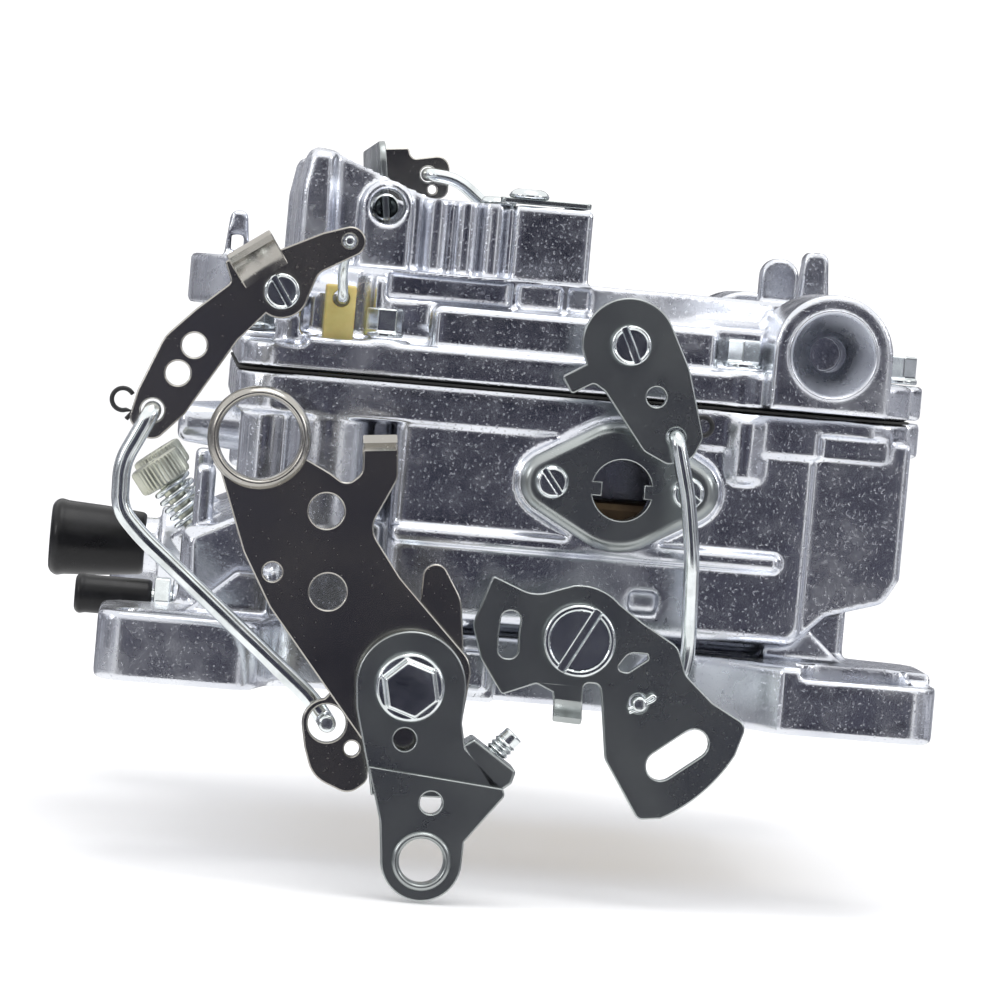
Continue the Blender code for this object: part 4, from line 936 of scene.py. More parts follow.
def cut_main_body(s):
    """Bores, bowls, slots and drillings of the lower casting."""
    for side in BOTH:
        y = side * BORE_Y
        s.cut(upright(THROTTLE[0], y, -5, 60, PRIMARY_BORE, SHARP),
              upright(THROTTLE[0], y, 50.6, 60, 18.8, SHARP),
              upright(SECONDARY[0], y, -5, 60, SECONDARY_BORE, SHARP), blend=0.7)
        s.cut(brick((THROTTLE[0] - 4.5, side * 40, 38), (THROTTLE[0] + 4.5, side * 47, 60), SHARP),
              brick((SECONDARY[0] - 4.5, side * 43, 30), (SECONDARY[0] + 4.5, side * 50, 60), SHARP),
              brick((-21.5, side * 51.5, 19), (62.5, side * 67.0, 60), 2.5),
              slab("z", slot(-59.95, side * 71.4, 19.9, 8.4), -5, 14, SHARP),
              slab("z", slot(59.95, side * 71.4, 19.9, 8.4), -5, 14, SHARP), blend=0.5)
        s.cut(rod(mixture_point(side, 4.0), mixture_point(side, 20.0), 2.4, SHARP),
              rod(mixture_point(side, 4.0), mixture_point(side, 13.8), 4.4, SHARP), blend=0.3)
    s.cut(cross_rod(THROTTLE, -90, 90, SHAFT_R, SHARP), cross_rod(SECONDARY, -58, 90, SHAFT_R, SHARP),
          cross_rod((SECONDARY[0], 51.0), -48, 48, 2.3, SHARP), upright(WELL_X, -WELL_Y, 32, 60, 5.4, SHARP),
          rod((-90, 0, LARGE_PORT_Z), (-50, 0, LARGE_PORT_Z), 3.6, SHARP),
          rod((-70, SMALL_PORT_Y, SMALL_PORT_Z), (-48, SMALL_PORT_Y, SMALL_PORT_Z), 2.2, SHARP),
          cross_rod(SECTOR_PIVOT, -90, -72.5, 2.6, SHARP), cross_rod(SIDE_OPENING, -80, -60, 5.4, SHARP),
          brick((-3.0, -90, -3), (9.0, -57, 6.0), 0.6), brick((18.6, -90, 18.4), (24.0, -67.6, 22.4), 1.2),
          blend=0.35)
    for screw in ("side_plate_screw_1", "side_plate_screw_2"):
        x, _, z = node_middle(screw)
        s.cut(cross_rod((x, z), -80, -67.5, 1.9, SHARP), blend=0)


def make_air_horn():
    """The upper casting: cover flange, ring, choke tower, pump boss and fuel inlets."""
    s = Solid(HORN_LOW, HORN_HIGH, sizes().casting_cell / MM)
    s.add(slab("z", body_plan(), 55.9, 62.0, 0.8), blend=0)
    s.cut(brick((-60, -90, 60.4), (-41.5, -50, 70), 0.2), blend=0.3)
    s.add(upright(RING_X, 0, 65.8, 75.0, RING_R, 0.7), blend=0)
    s.add(slab("z", box_outline(-44, -61, 52, 61, 12), 58, 70, 1.2), blend=2.2)
    tower = outline([(-44, 62), (-43.8, 88), (-42.6, 95.3, 1.8), (-36.5, 94.6, 2), (-20, 88.4, 6),
                     (8.8, 88.4, 0.8), (8.8, 62)])
    s.add(slab("y", tower, -43.0, 43.0, 0.9), blend=1.4)
    for side in BOTH:
        block = outline([(-5.3, 62), (-5.3, 88.4, 0.8), (8.8, 88.4, 0.8), (8.8, 62)])
        s.add(slab("y", block, side * 38, side * 46.2, 0.7), blend=0.3)
        s.add(slab("y", outline([(-44, 62), (-43.9, 88), (-42.6, 95.3, 1.8), (-38.4, 94.9), (-37.2, 62)]),
                   side * 34, side * 45.8, 1.4), blend=2.0)
        for x, radius in ((-19.2, 2.7), (-13.8, 2.6), (-8.8, 2.3)):
            s.add(upright(x, side * 42.6, 62, 88.3, radius, 0.4), blend=0.2)
        arch = outline([(-33.1, 60), (-23.7, 60)] + arc(-28.4, 86.0, 4.7, 0, 180))
        s.add(slab("y", arch, side * 40, -50.0 if side < 0 else 61.0, 0.7), blend=0.5)
        inlet = [(60.4, 56.4), *arc(INLET_X, INLET_Z, 10.5, 0, 180, 24), (39.4, 56.4)]
        s.add(slab("y", inlet, side * 52.0, side * 79.0, 0.8), blend=1.0)
        s.add(upright(-28, side * 66, 57, 62.6, 4.8, 0.5), upright(35.6, side * 66.4, 56.1, 62.6, 4.7, 0.5),
              upright(66.5, side * 45, 55.9, 62.0, 4.6, 0.5), blend=0.6)
        s.add(brick((-19.5, side * 56, 60.5), (31.0, side * 68.2, 69.4), 1.5), blend=0.5)
        s.add(upright(-43.4, side * 60.5, 60, 74.6, 3.4, 0.6),
              upright(-29.6, side * 58.2, 60, 73.6, 3.6, 1.2),
              brick((39.5, side * 58, 60), (44.5, side * 68, 62.4), 0.6), blend=1.0)
    s.add(cross_rod(PUMP_PIVOT, -50, -81.7, 4.6, 0.5), cross_rod(IDLE_PIVOT, -50, -79.7, 5.2, 0.5),
          slab("y", outline([(-56.6, 73), (-51.4, 73), (-52.5, 83.8, 1.4), (-55.6, 83.8, 1.4)]), 8, 20, 0.5),
          slab("y", outline([(48.8, 73), (56.4, 73), (56.4, 83.9, 3.7), (48.8, 83.9, 3.7)]), 28, 33, 0.6),
          slab("y", outline([(52.4, 73), (58.8, 73), (57.8, 85.2, 1.5), (53.4, 85.2, 1.5)]), -2, 4, 0.6),
          blend=0.6)
    cut_air_horn(s)
    add_piece("air_horn_casting", [s.surface()], "casting", "root", ["air_horn"], 50.0,
              sizes().casting_faces)


def cut_air_horn(s):
    """Throats, recesses and drillings of the upper casting."""
    s.cut(slab("z", box_outline(-41.3, -42, 4.5, 42, 5), 50, 100, SHARP),
          slab("z", box_outline(8.9, -43, 48.4, 43, 8), 50, 100, SHARP), blend=0.9)
    for low, high in ((-27.5, -6.0), (-5.0, 3.0), (4.0, 8.0)):
        for side in BOTH:
            deep = math.sqrt(RING_R ** 2 - (max(abs(low - RING_X), abs(high - RING_X))) ** 2) - 1.2
            s.cut(brick((low, side * deep, 70.0), (high, side * 80, 74.2), 0.5), blend=0.5)
    s.cut(brick((-55.2, 4, 76.0), (-52.8, 24, 79.2), 0.4), blend=0.3)
    s.cut(cross_rod(CHOKE, -60, 70, 2.8, SHARP), cross_rod(CHOKE, -60, -41, 3.1, SHARP),
          upright(WELL_X, -WELL_Y, 50, 90, 4.4, SHARP), cross_rod(PUMP_PIVOT, -90, -74, 2.3, SHARP),
          cross_rod(IDLE_PIVOT, -90, -72, 2.3, SHARP), brick((-42.6, -80, 62.3), (-30.0, -57.6, 78), 1.2),
          blend=0.35)
    for side in BOTH:
        s.cut(cross_rod((INLET_X, INLET_Z), side * 79.6, side * 70.6, 7.9, SHARP, top=3.8),
              cross_rod((INLET_X, INLET_Z), side * 74.0, side * 62.0, 3.8, SHARP), blend=0.1)


def make_fuel_inlets():
    """The fuel inlets' coned seats, turned finer than the casting around them."""
    for name, side in SIDES:
        seat = rounded_profile([(0, 15), (3.1, 15, 0.3), (3.1, 8.2, 0.4), (7.2, 0.5, 0.4), (7.7, 0.0, 0.3),
                                (8.2, 0.6, 0.2), (8.3, 4), (5.0, 15.6), (0, 16)])
        add_piece("fuel_inlet_seat_" + name,
                  [turned(seat, (INLET_X, side * INLET_FACE, INLET_Z), (0, -side, 0), 72)], "casting", "root",
                  (), 40)


def gasket_sheet():
    """The joint sheet, open over the throats and the bowls."""
    loops = [body_plan(), box_outline(-42, -45.5, 5.2, 45.5, 6), box_outline(8.4, -46, 53, 46, 6)]
    for side in BOTH:
        low, high = sorted((side * 51.5, side * 68))
        loops.append(box_outline(-21.5, low, 62.5, high, 4))
    loops.append(circle(WELL_X, -WELL_Y, 5.4))
    low, high = node_box("cover_gasket")
    add_piece("gasket_sheet", [sheet(loops, low[2], high[2], 0.08, axis="z")], "gasket", "root",
              ["cover_gasket"])


# ---------------------------------------------------------------- screws
def slotted_head(centre, seat, radius, height, width, angle, dome=0.35, recess=0.0):
    """A slotted head pointing to -Y, its slot turned by angle; recess sinks the face inside a raised rim."""
    x, z = centre
    s = small_solid((x - radius, seat - height, z - radius), (x + radius, seat, z + radius))
    s.add(cross_rod((x, z), seat, seat - height, radius, dome), blend=0)
    if recess:
        s.cut(cross_rod((x, z), seat - height - 2, seat - height + recess, radius * 0.83, 0.05), blend=0.25)
    reach, half, a = radius * 1.3, width / 2, math.radians(angle)
    bar = ((-reach, -half), (reach, -half), (reach, half), (-reach, half))
    corners = [(x + u * math.cos(a) - v * math.sin(a), z + u * math.sin(a) + v * math.cos(a)) for u, v in bar]
    s.cut(slab("y", corners, seat - height - 2, seat - height * 0.42, 0.05), blend=0.15)
    return s.surface()


def make_pivot_screws():
    """The three shoulder screws that the sector and the two levers turn on."""
    for node, centre, radius, width, angle, recess in (
            ("sector_pivot_screw", SECTOR_PIVOT, 6.3, 1.35, 62, 0.35),
            ("idle_lever_pivot_screw", IDLE_PIVOT, 3.5, 1.1, -64, 0.3),
            ("pump_lever_pivot_screw", PUMP_PIVOT, 3.1, 0.95, -56, 0.25)):
        low, high = node_box(node)
        seat = low[1] + (2.6 if radius > 5 else 2.0)
        head = slotted_head(xz(centre), seat, radius, seat - low[1], width, angle, 0.5, recess)
        shank = lathe([(0, 0), (2.0, 0, 0.2), (2.0, high[1] - seat, 0.3), (0, high[1] - seat)],
                      (centre[0], seat - 0.2, centre[2]), FAR_WAY, 24)
        bright_screw(node + "_bright", [head, shank], "root", [node])


def make_side_plate():
    """The stamped plate with its turned-down bright rim, keyed opening and two slotted screws."""
    low, high = node_box("side_plate")
    centre_x, centre_z = SIDE_OPENING
    opening = (arc(centre_x, centre_z, 5.3, 14, 166)
               + [(centre_x - 3.5, centre_z + 1.3), (centre_x - 3.5, centre_z - 1.3)]
               + arc(centre_x, centre_z, 5.3, 194, 346)
               + [(centre_x + 3.8, centre_z - 1.3), (centre_x + 3.8, centre_z + 1.3)])
    screws = [node_middle(n) for n in ("side_plate_screw_1", "side_plate_screw_2")]
    loops = [diamond(), opening] + [circle(s[0], s[2], 1.8, 24) for s in screws]
    t = np.linspace(0, 1, 7)
    rim = [(2.1 * (1 - k), low[1] + 1.5 * k ** 2.2) for k in t] + [(0.0, high[1] - 0.3), (0.3, high[1])]
    stamping("side_plate_stamping", [sheet(loops, low[1], high[1], 0.25, rim)], "grey_zinc", "root",
             ["side_plate"], 50)
    for number, (screw, angle) in enumerate(zip(screws, (-52, -38)), 1):
        node = f"side_plate_screw_{number}"
        box = node_box(node)
        head = slotted_head((screw[0], screw[2]), -74.5, 2.9, -74.5 - box[0][1], 0.85, angle, 0.9)
        shank = turned([(0, 0), (1.5, 0), (1.5, 5), (0, 5)], (screw[0], -74.9, screw[2]), FAR_WAY, 20)
        bright_screw(node + "_bright", [head, shank], "root", [node])


def hex_head(base, direction, across_corners, height, edge=0.35, recess=0.0, lean=0.0):
    """A hexagon head as distances: six flat sides, a rounded rim, a chamfered crown and an optional dish."""
    base = np.asarray(base, float)
    first, second, forward = axes_along(direction)
    turn = math.radians(lean)
    first, second = (math.cos(turn) * first + math.sin(turn) * second,
                     -math.sin(turn) * first + math.cos(turn) * second)
    flat = across_corners * math.cos(math.pi / 6)

    def distance(x, y, z):
        d = (x - base[0], y - base[1], z - base[2])
        u, v, w = (sum(c * a for c, a in zip(d, axis)) for axis in (first, second, forward))
        turns = (0.0, math.pi / 3, 2 * math.pi / 3)
        sides = [np.abs(u * math.cos(a) + v * math.sin(a)) for a in turns]
        sides = np.maximum.reduce(np.broadcast_arrays(*sides)) - flat
        out = np.sqrt(u * u + v * v)
        crown = (out - across_corners * 0.97 + (w - height) * 0.55) * 0.876
        body = rounded_corner(np.maximum(sides, crown), np.abs(w - height / 2) - height / 2, edge)
        if recess:
            dish = rounded_corner(out - across_corners * 0.62, np.abs(w - height) - recess, 0.2)
            body = np.maximum(body, -dish)
        return body

    reach = across_corners + height
    return base - reach, base + reach, distance


def make_cover_screws():
    """Eight flanged hex screws with dished heads."""
    for number in range(1, 9):
        node = f"cover_screw_{number}"
        low, high = node_box(node)
        x, y = ((low + high) / 2)[:2]
        s = small_solid(low, high)
        s.add(hex_head((x, y, low[2] + 0.6), UP, 3.25, high[2] - low[2] - 0.6, 0.3, 0.9, 8 * number),
              upright(x, y, low[2], low[2] + 0.9, 3.5, 0.3), blend=0.4)
        bright_screw(node + "_bright", [s.surface()], "root", [node])


def make_lever_bolt():
    """The flanged hex bolt on the primary shaft, its end flat and plain."""
    low, high = node_box("lever_bolt")
    x, z = xz(THROTTLE)
    s = small_solid(low, high)
    s.add(cross_rod((x, z), high[1], high[1] - 1.7, 5.9, 0.7),
          hex_head((x, high[1] - 1.2, z), NEAR_WAY, 4.9, high[1] - low[1] - 1.2, 0.5, 0.0, 12), blend=0.6)
    bright_screw("lever_bolt_bright", [s.surface()], "throttle", ["lever_bolt"])


def thread(start, direction, length, radius, pitch, depth, segments=28):
    """A screw thread: a sleeve whose radius follows a triangle wave along a helix, drawn in at both ends."""
    rows = int(length / pitch * 10) + 1
    h = np.linspace(0.0, length, rows)
    t = np.linspace(0.0, 2 * np.pi, segments, endpoint=False)
    phase = (h[:, None] / pitch - t[None] / (2 * np.pi)) % 1.0
    ends = np.clip(np.minimum(h, length - h) / (0.8 * pitch), 0.0, 1.0)[:, None]
    r = radius - depth + depth * (1 - np.abs(2 * phase - 1)) * ends
    r = np.concatenate([np.zeros((1, segments)), r, np.zeros((1, segments))])
    h = np.concatenate([h[:1], h, h[-1:]])
    return revolved(r, h, start, direction)


def make_idle_speed_screw():
    """The threaded stop screw with its socket end and hex head."""
    spot, forward = idle_point(0), IDLE_AXIS
    body = "idle_speed_screw"
    s = small_solid(spot - 9 * forward - 3.4, spot - 3 * forward + 3.4)
    s.add(hex_head(spot - 4.2 * forward, -forward, 3.2, 3.4, 0.3), blend=0.2)
    end = lathe([(0, -1.5), (1.75, -1.5, 0.1), (1.75, 0.9, 0.4), (0.8, 0.9, 0.1), (0.8, 0.1), (0, 0.1)],
                spot + 5.7 * forward, forward, 24)
    bright_screw("idle_speed_screw_thread",
                 [thread(spot - 4.6 * forward, forward, 10.0, 2.05, 0.9, 0.42), s.surface(), end], body,
                 ["idle_speed_screw"], sharp=40)


def make_mixture_screws():
    """Knurled idle mixture screws, each with its spring and needle."""
    for name, side in SIDES:
        ridge = 0.16 * ribs(34) ** 0.7
        profile = np.array([(0.0, 0.25), (1.6, 0.25), (1.7, 0.0), (4.3, 0.0), (4.85, 0.25), (5.0, 0.7),
                            (5.0, 4.3), (4.8, 4.8), (4.2, 5.05), (1.8, 5.05), (1.8, 13.4), (0.5, 17.0),
                            (0.0, 18.4)])
        grooved = np.array([0, 0, 0, 0, 0.4, 1, 1, 0.4, 0, 0, 0, 0, 0])
        r = profile[:, :1] - 0.2 * grooved[:, None] + grooved[:, None] * ridge[None] * 1.6
        head = revolved(r, profile[:, 1], mixture_point(side, 0.0), MIXTURE_AXIS)
        body = "mixture_screw_" + name
        add_piece(f"mixture_screw_{name}_knurled", [head], "olive", body, ["idle_mixture_screw_" + name],
                  30)
        add_piece(f"mixture_spring_{name}",
                  [coil(mixture_point(side, 5.2), MIXTURE_AXIS, 8.4, 2.9, 0.5, 5.5)], "steel", body, (),
                  60)


# ---------------------------------------------------------------- throttle levers
def make_throttle_lever():
    """The big stamped lever with the raised collar of its cable eye and its bent-over tab."""
    eye_x, eye_z = THROTTLE_EYE
    shape = outline(arc(eye_x, eye_z, 8.7, -20, 200, 30)
                    + [(-54.6, 38.0), (-49.6, 24.8, 6), (-44.4, 15.8, 3), (-26.8, -5.5, 4), (-21, -10, 3),
                       (-10.8, -9.4, 4), (-9.0, 9.0, 5), (-22.6, 22.6, 6), (-28.5, 30.5, 4), (-24.4, 39.4, 3),
                       (-24.9, 45.4, 0.6), (-30.8, 45.4, 0.6), (-30.6, 39.8, 2), (-33, 37.5, 3),
                       (-36, 39.4, 2)])
    loops = [shape, circle(eye_x, eye_z, 7.2, 60), circle(-36.1, 32.9, 3.0), circle(-44.4, 21.8, 1.6, 24),
             circle(-34.7, 19.2, 3.1), circle(*xz(THROTTLE), SHAFT_R)]
    collar = lathe([(6.9, 0.0), (6.9, -3.4, 0.8), (7.3, -4.4, 0.5), (7.9, -4.5, 0.5), (8.7, -3.6, 0.9),
                    (8.9, -2.3, 0.5), (8.6, 0.0), (6.9, 0.0)], (eye_x, THROTTLE_LEVER_Y[1], eye_z), FAR_WAY,
                   72)
    tab = flap((-30.8, 42.8), (-24.9, 43.4), [(0.0, -91.3), (1.0, -91.6), (2.3, -93.0), (2.9, -94.8)], 1.4)
    stamping("throttle_lever_stamping", [sheet(loops, *THROTTLE_LEVER_Y), collar, tab], "dark_zinc",
             "throttle", ["throttle_lever"])


def make_front_lever():
    """The outer lever: upper plate, joggled foot with its bush, and the turned-up screw tab."""
    x, z = xz(THROTTLE)
    upper = outline([(-25.2, -11.2), (-24.6, -14.4), (-4.6, -13.6), (-2.2, -11.6, 0.8), (-9.3, -5.2),
                     (-10.2, -1.0)] + arc(x + 0.2, z + 0.1, 9.4, 0, 180, 26) + [(-28.3, 0)])
    foot_x, foot_z = FOOT_EYE
    lower = outline([(-25.5, -9.4), (-22.8, -18.5)] + arc(foot_x, foot_z, 6.9, 180, 360, 24)
                    + [(-8.2, -21.0), (-1.9, -12.6, 1.2), (-2.4, -11.4)])
    plate = sheet([upper, circle(x, z, SHAFT_R), circle(-19.7, -4.5, 1.9, 24)], *FRONT_LEVER_Y)
    foot = sheet([lower, circle(foot_x, foot_z, 4.0), circle(-14.4, -14.8, 1.9, 24)], *FRONT_FOOT_Y)
    bush = lathe([(3.8, 0.0), (3.8, -2.6, 0.4), (4.3, -3.1, 0.3), (5.0, -2.8, 0.5), (5.2, -1.6, 0.3),
                  (5.2, 0.0), (3.8, 0.0)], (foot_x, -95.3, foot_z), FAR_WAY, 48)
    tab = small_solid((-10.4, -96.6, -13.0), (0.2, -87.2, -3.0))
    tab.add(slab("y", outline([(-9.9, -4.8, 0.5), (-7.9, -3.4, 0.5), (-0.3, -8.4, 0.8), (-0.9, -10.6, 0.8),
                               (-2.4, -11.8, 0.8), (-4.5, -12.2, 0.5)]), -96.4, -87.5, 0.5), blend=0)
    tab.cut(rod(idle_point(-9), idle_point(9), 2.3, 0.1), blend=0.2)
    stamping("front_lever_stamping", [plate, foot, bush, tab.surface()], "grey_zinc", "throttle",
             ["front_lever"])


def idle_point(distance):
    """A point on the idle-speed screw's axis."""
    return pivot("idle_speed_screw_turn") + distance * IDLE_AXIS


def make_pump_arm():
    """The inner lever on the primary shaft, with the pump rod's eye and the round lobe."""
    shape = outline([(-10.0, -1.0, 3), (-10.6, 12.0, 5), (-11.6, 19.5, 6), (-15.4, 25.6, 2.4),
                     (-18.6, 24.6, 2.4), (-18.8, 14.0, 4), (-24.0, 12.0, 4)]
                    + arc(*PUMP_ROD_LOW, 4.3, 100, 190, 12)
                    + [(-36.3, -8.0), (-34.6, -13.0, 6), (-28.0, -15.6, 3), (-25.0, -13.0, 2),
                       (-25.2, -7.6, 4)])
    loops = [shape, circle(*PUMP_ROD_LOW, 3.25), circle(-28.2, -7.6, 1.3, 20), circle(*xz(THROTTLE), SHAFT_R)]
    stamping("pump_arm_stamping", [sheet(loops, *PUMP_ARM_Y)], "dark_zinc", "throttle", ["pump_arm"])


def make_shaft_cranks():
    """The far-side cranks with their riveted pins, and the link between them."""
    pins = []
    for node, centre, body in (("primary_crank", THROTTLE, "throttle"),
                               ("secondary_crank", SECONDARY, "secondary_throttle")):
        x, z = xz(centre)
        pin = (x + 8.6, z - 3.1)
        pins.append(pin)
        run = Vector(pin) - Vector((x, z))
        heading = math.degrees(math.atan2(run.y, run.x))
        lean = math.degrees(math.acos(3.4 / run.length))
        shape = (arc(*pin, 3.6, heading - lean, heading + lean)
                 + arc(x, z, 7.0, heading + lean, heading + 360 - lean, 24))
        rivet = lathe([(0, 0), (1.8, 0, 0.1), (1.8, 4.4, 0.5), (0, 4.4)], (pin[0], 68.0, pin[1]), FAR_WAY, 24)
        stamping(node + "_stamping", [sheet([shape, circle(x, z, SHAFT_R)], *CRANK_Y), rivet], "grey_zinc",
                 body, [node])
    (x0, z0), (x1, _) = pins
    loops = [slot((x0 + x1) / 2, z0, x1 - x0 + 6.4, 6.4), circle(x0, z0, 2.1, 24), circle(x1, z0, 2.1, 24)]
    stamping("secondary_link_stamping", [sheet(loops, *CRANK_LINK_Y)], "grey_zinc", "secondary_link",
             ["secondary_link"])


# ---------------------------------------------------------------- accelerator pump
def make_pump_lever():
    """The long stamped lever, with its bent-over tab, its five holes and the rod's clip."""
    x, z = xz(PUMP_PIVOT)
    shape = outline(arc(x, z, 4.7, -120, -10, 14) + [(-40.6, 73.0, 3)] + arc(-35.6, 78.9, 2.6, -60, 110, 16)
                    + [(-40.5, 80.0), (-47.8, 76.4, 1), (-49.6, 78.2, 0.5), (-56.8, 73.6, 0.5),
                       (-55.4, 70.2, 1), (-61.0, 65.2, 4), (-66.0, 60.0, 6), (-69.8, 50.5, 4),
                       (-71.0, 45.2, 2), (-66.8, 41.2, 2.5), (-61.4, 47.0, 3), (-53.4, 60.4, 5)])
    loops = [shape, circle(x, z, 2.3, 24), circle(*xz(PUMP_LINK_TOP), 1.2, 20), circle(-60.8, 58.9, 2.1, 28),
             circle(-63.2, 53.9, 2.1, 28), circle(*xz(PUMP_ROD_TOP), 2.0, 28)]
    tab = flap((-53.0, 69.4), (-46.0, 74.4),
               [(0.0, -82.9), (2.0, -83.2), (4.4, -84.9), (6.0, -87.4), (5.2, -88.2)])
    clip = np.concatenate([[(-71.4, -81.2, 45.2), (-70.4, -81.2, 46.6)],
                           [(a, -81.2, b) for a, b in arc(-72.2, 48.6, 1.9, -70, -330, 20)]])
    stamping("pump_lever_stamping", [sheet(loops, *PUMP_LEVER_Y), tab], "dark_zinc", "pump_lever",
             ["pump_lever"])
    wire("pump_rod_clip", clip, 0.42, 10, "pump_rod", look="plastic", sharp=60)


def make_pump_rod():
    """The long bent rod from the pump lever down to the arm."""
    top, low = PUMP_ROD_TOP, PUMP_ROD_LOW
    front, back = -85.6, -84.1
    route = [(top[0], -80.6, top[2]), (top[0], front, top[2]), (-71.4, front, 38.0), (-71.2, front, 30.0),
             (-67.0, front, 25.6), (low[0] - 3.0, back, 0.2), (low[0], back, low[1]), (low[0], -89.3, low[1])]
    wire("pump_rod_wire", bend(route, 2.6), 1.55, 20, "pump_rod", ["pump_rod"])


def make_pump_link():
    """The S link between the pump lever and the plunger."""
    x, z = xz(PUMP_LINK_TOP)
    low = z - 10.0
    route = [(x, -84.6, z), (x, -80.8, z), (x - 0.6, -76.0, z - 5.0), (x, -74.6, low), (x, -60.6, low)]
    wire("pump_link_wire", bend(route, 1.8), 0.9, 16, "pump_link", ["pump_link"])


def make_plunger():
    """The moulded nylon plunger with the cup below it."""
    low, high = node_box("pump_plunger")
    s = small_solid(low, high)
    s.add(brick((-38.6, -65.4, 46.0), (-33.2, -59.8, high[2]), 0.5),
          upright(WELL_X, -WELL_Y, low[2], 48.5, 4.9, 0.6), blend=0.8)
    s.cut(cross_rod((PUMP_LINK_TOP[0], PUMP_LINK_TOP[2] - 10.0), -80, -50, 1.5, 0.1), blend=0.3)
    add_piece("plunger_moulding", [s.surface()], "nylon", "pump_plunger", ["pump_plunger"], 40)


# ---------------------------------------------------------------- fast idle
def make_sector():
    """The fast-idle sector with its slots, its peg hole, its bent tab and the rod's cotter pin."""
    px, pz = xz(SECTOR_PIVOT)
    shape = outline([(-6.1, 23.7, 0.6), (1.4, 20.8, 6)]
                    + arc(px, pz, 9.5, 100, 45, 12)
                    + [(20.6, 17.6, 3), (27.0, 14.0, 3), (28.8, 9.2, 3), (33.8, 4.8, 3), (40.2, 1.4, 2)]
                    + arc(13.0, 9.5, 29.0, -28, -62, 14)
                    + [(22.6, -16.6, 1.5), (16.0, -6.6, 3), (14.6, 3.0), (14.0, 6.4, 1.2), (11.2, 6.4, 1),
                       (11.2, 2.0, 0.5), (6.4, 1.6, 0.5), (5.9, 4.4), (3.0, 5.6, 1), (-2.8, 3.2, 0.8),
                       (-7.0, 9.2, 3), (-8.9, 15.0, 3)])
    keyed = outline([(-4.0, 9.6, 1.5), (-0.6, 9.6, 1.5), (-0.9, 13.4, 3), (-0.6, 17.8, 1.6),
                     (-4.0, 17.8, 1.6), (-4.2, 13.4, 1)])
    eyelet = outline([(16.6, 9.2, 1.2), (18.6, 8.8, 1.0), (22.0, 11.4, 0.3), (21.8, 12.2, 0.3),
                      (18.6, 12.2, 2)])
    loops = [shape, keyed, circle(px, pz, 2.6, 28), eyelet, circle(*SECTOR_PIN, 1.7, 24),
             slot(28.5, -4.8, 12.0, 5.0, 38)]
    tab = flap((6.3, 3.6), (11.3, 3.4), [(0.6, -80.8), (-0.8, -81.0), (-2.2, -81.9), (-3.6, -83.7)], 1.3)
    x, z = SECTOR_PIN
    pin = np.array([(x - 1.9, -82.9, z - 0.9), (x - 0.4, -83.5, z - 0.2), (x + 1.2, -83.3, z + 0.9),
                    (x + 2.2, -83.0, z + 1.7), (x + 2.7, -83.0, z + 1.4), (x + 2.3, -83.1, z + 0.8),
                    (x + 1.0, -83.3, z + 0.2), (x - 0.6, -83.1, z - 1.0), (x - 1.6, -82.8, z - 1.6)])
    stamping("sector_stamping", [sheet(loops, *IDLE_LEVER_Y), tab], "grey_zinc", "fast_idle_sector",
             ["fast_idle_sector"])
    wire("sector_cotter_pin", bend(pin, 0.5, 4), 0.34, 10, "fast_idle_rod", sharp=60)


def make_idle_lever():
    """The fast-idle lever on the air horn, and the clip that keeps its rod in."""
    x, z = xz(IDLE_PIVOT)
    shape = outline(arc(x - 0.2, z, 8.2, 30, 190, 30)
                    + [(6.8, 61.4), (2.8, 59.0, 0.6), (4.7, 56.0, 0.6), (8.4, 58.2, 1), (10.4, 57.0, 2),
                       (18.0, 47.2, 3), (22.4, 45.2, 2), (26.6, 46.6, 2.5), (28.2, 50.4, 2), (24.8, 62.0, 6)])
    loops = [shape, circle(x, z, 2.3, 24), circle(19.4, 56.8, 1.7, 24), circle(*xz(IDLE_PIN), 1.6, 24)]
    clip = [(a, -79.0, b) for a, b in arc(28.2, 52.4, 1.6, 150, -150, 20)]
    stamping("idle_lever_stamping", [sheet(loops, *IDLE_LEVER_Y)], "grey_zinc", "fast_idle_lever",
             ["fast_idle_lever"])
    wire("idle_rod_clip", clip, 0.45, 10, "fast_idle_rod", look="plastic", sharp=60)


def make_idle_rod():
    """The bent rod from the idle lever to the sector, passing behind the sector."""
    top, low = IDLE_PIN, SECTOR_PIN
    front, back = -83.4, -78.2
    route = [(top[0], -78.6, top[2]), (top[0], front, top[2]), (26.2, front, 40.0), (27.8, front, 30.0),
             (29.2, back, 13.0), (28.4, back, 8.0), (low[0], back, low[1]), (low[0], -83.8, low[1])]
    wire("idle_rod_wire", bend(route, 2.8), 1.35, 20, "fast_idle_rod", ["fast_idle_rod"])


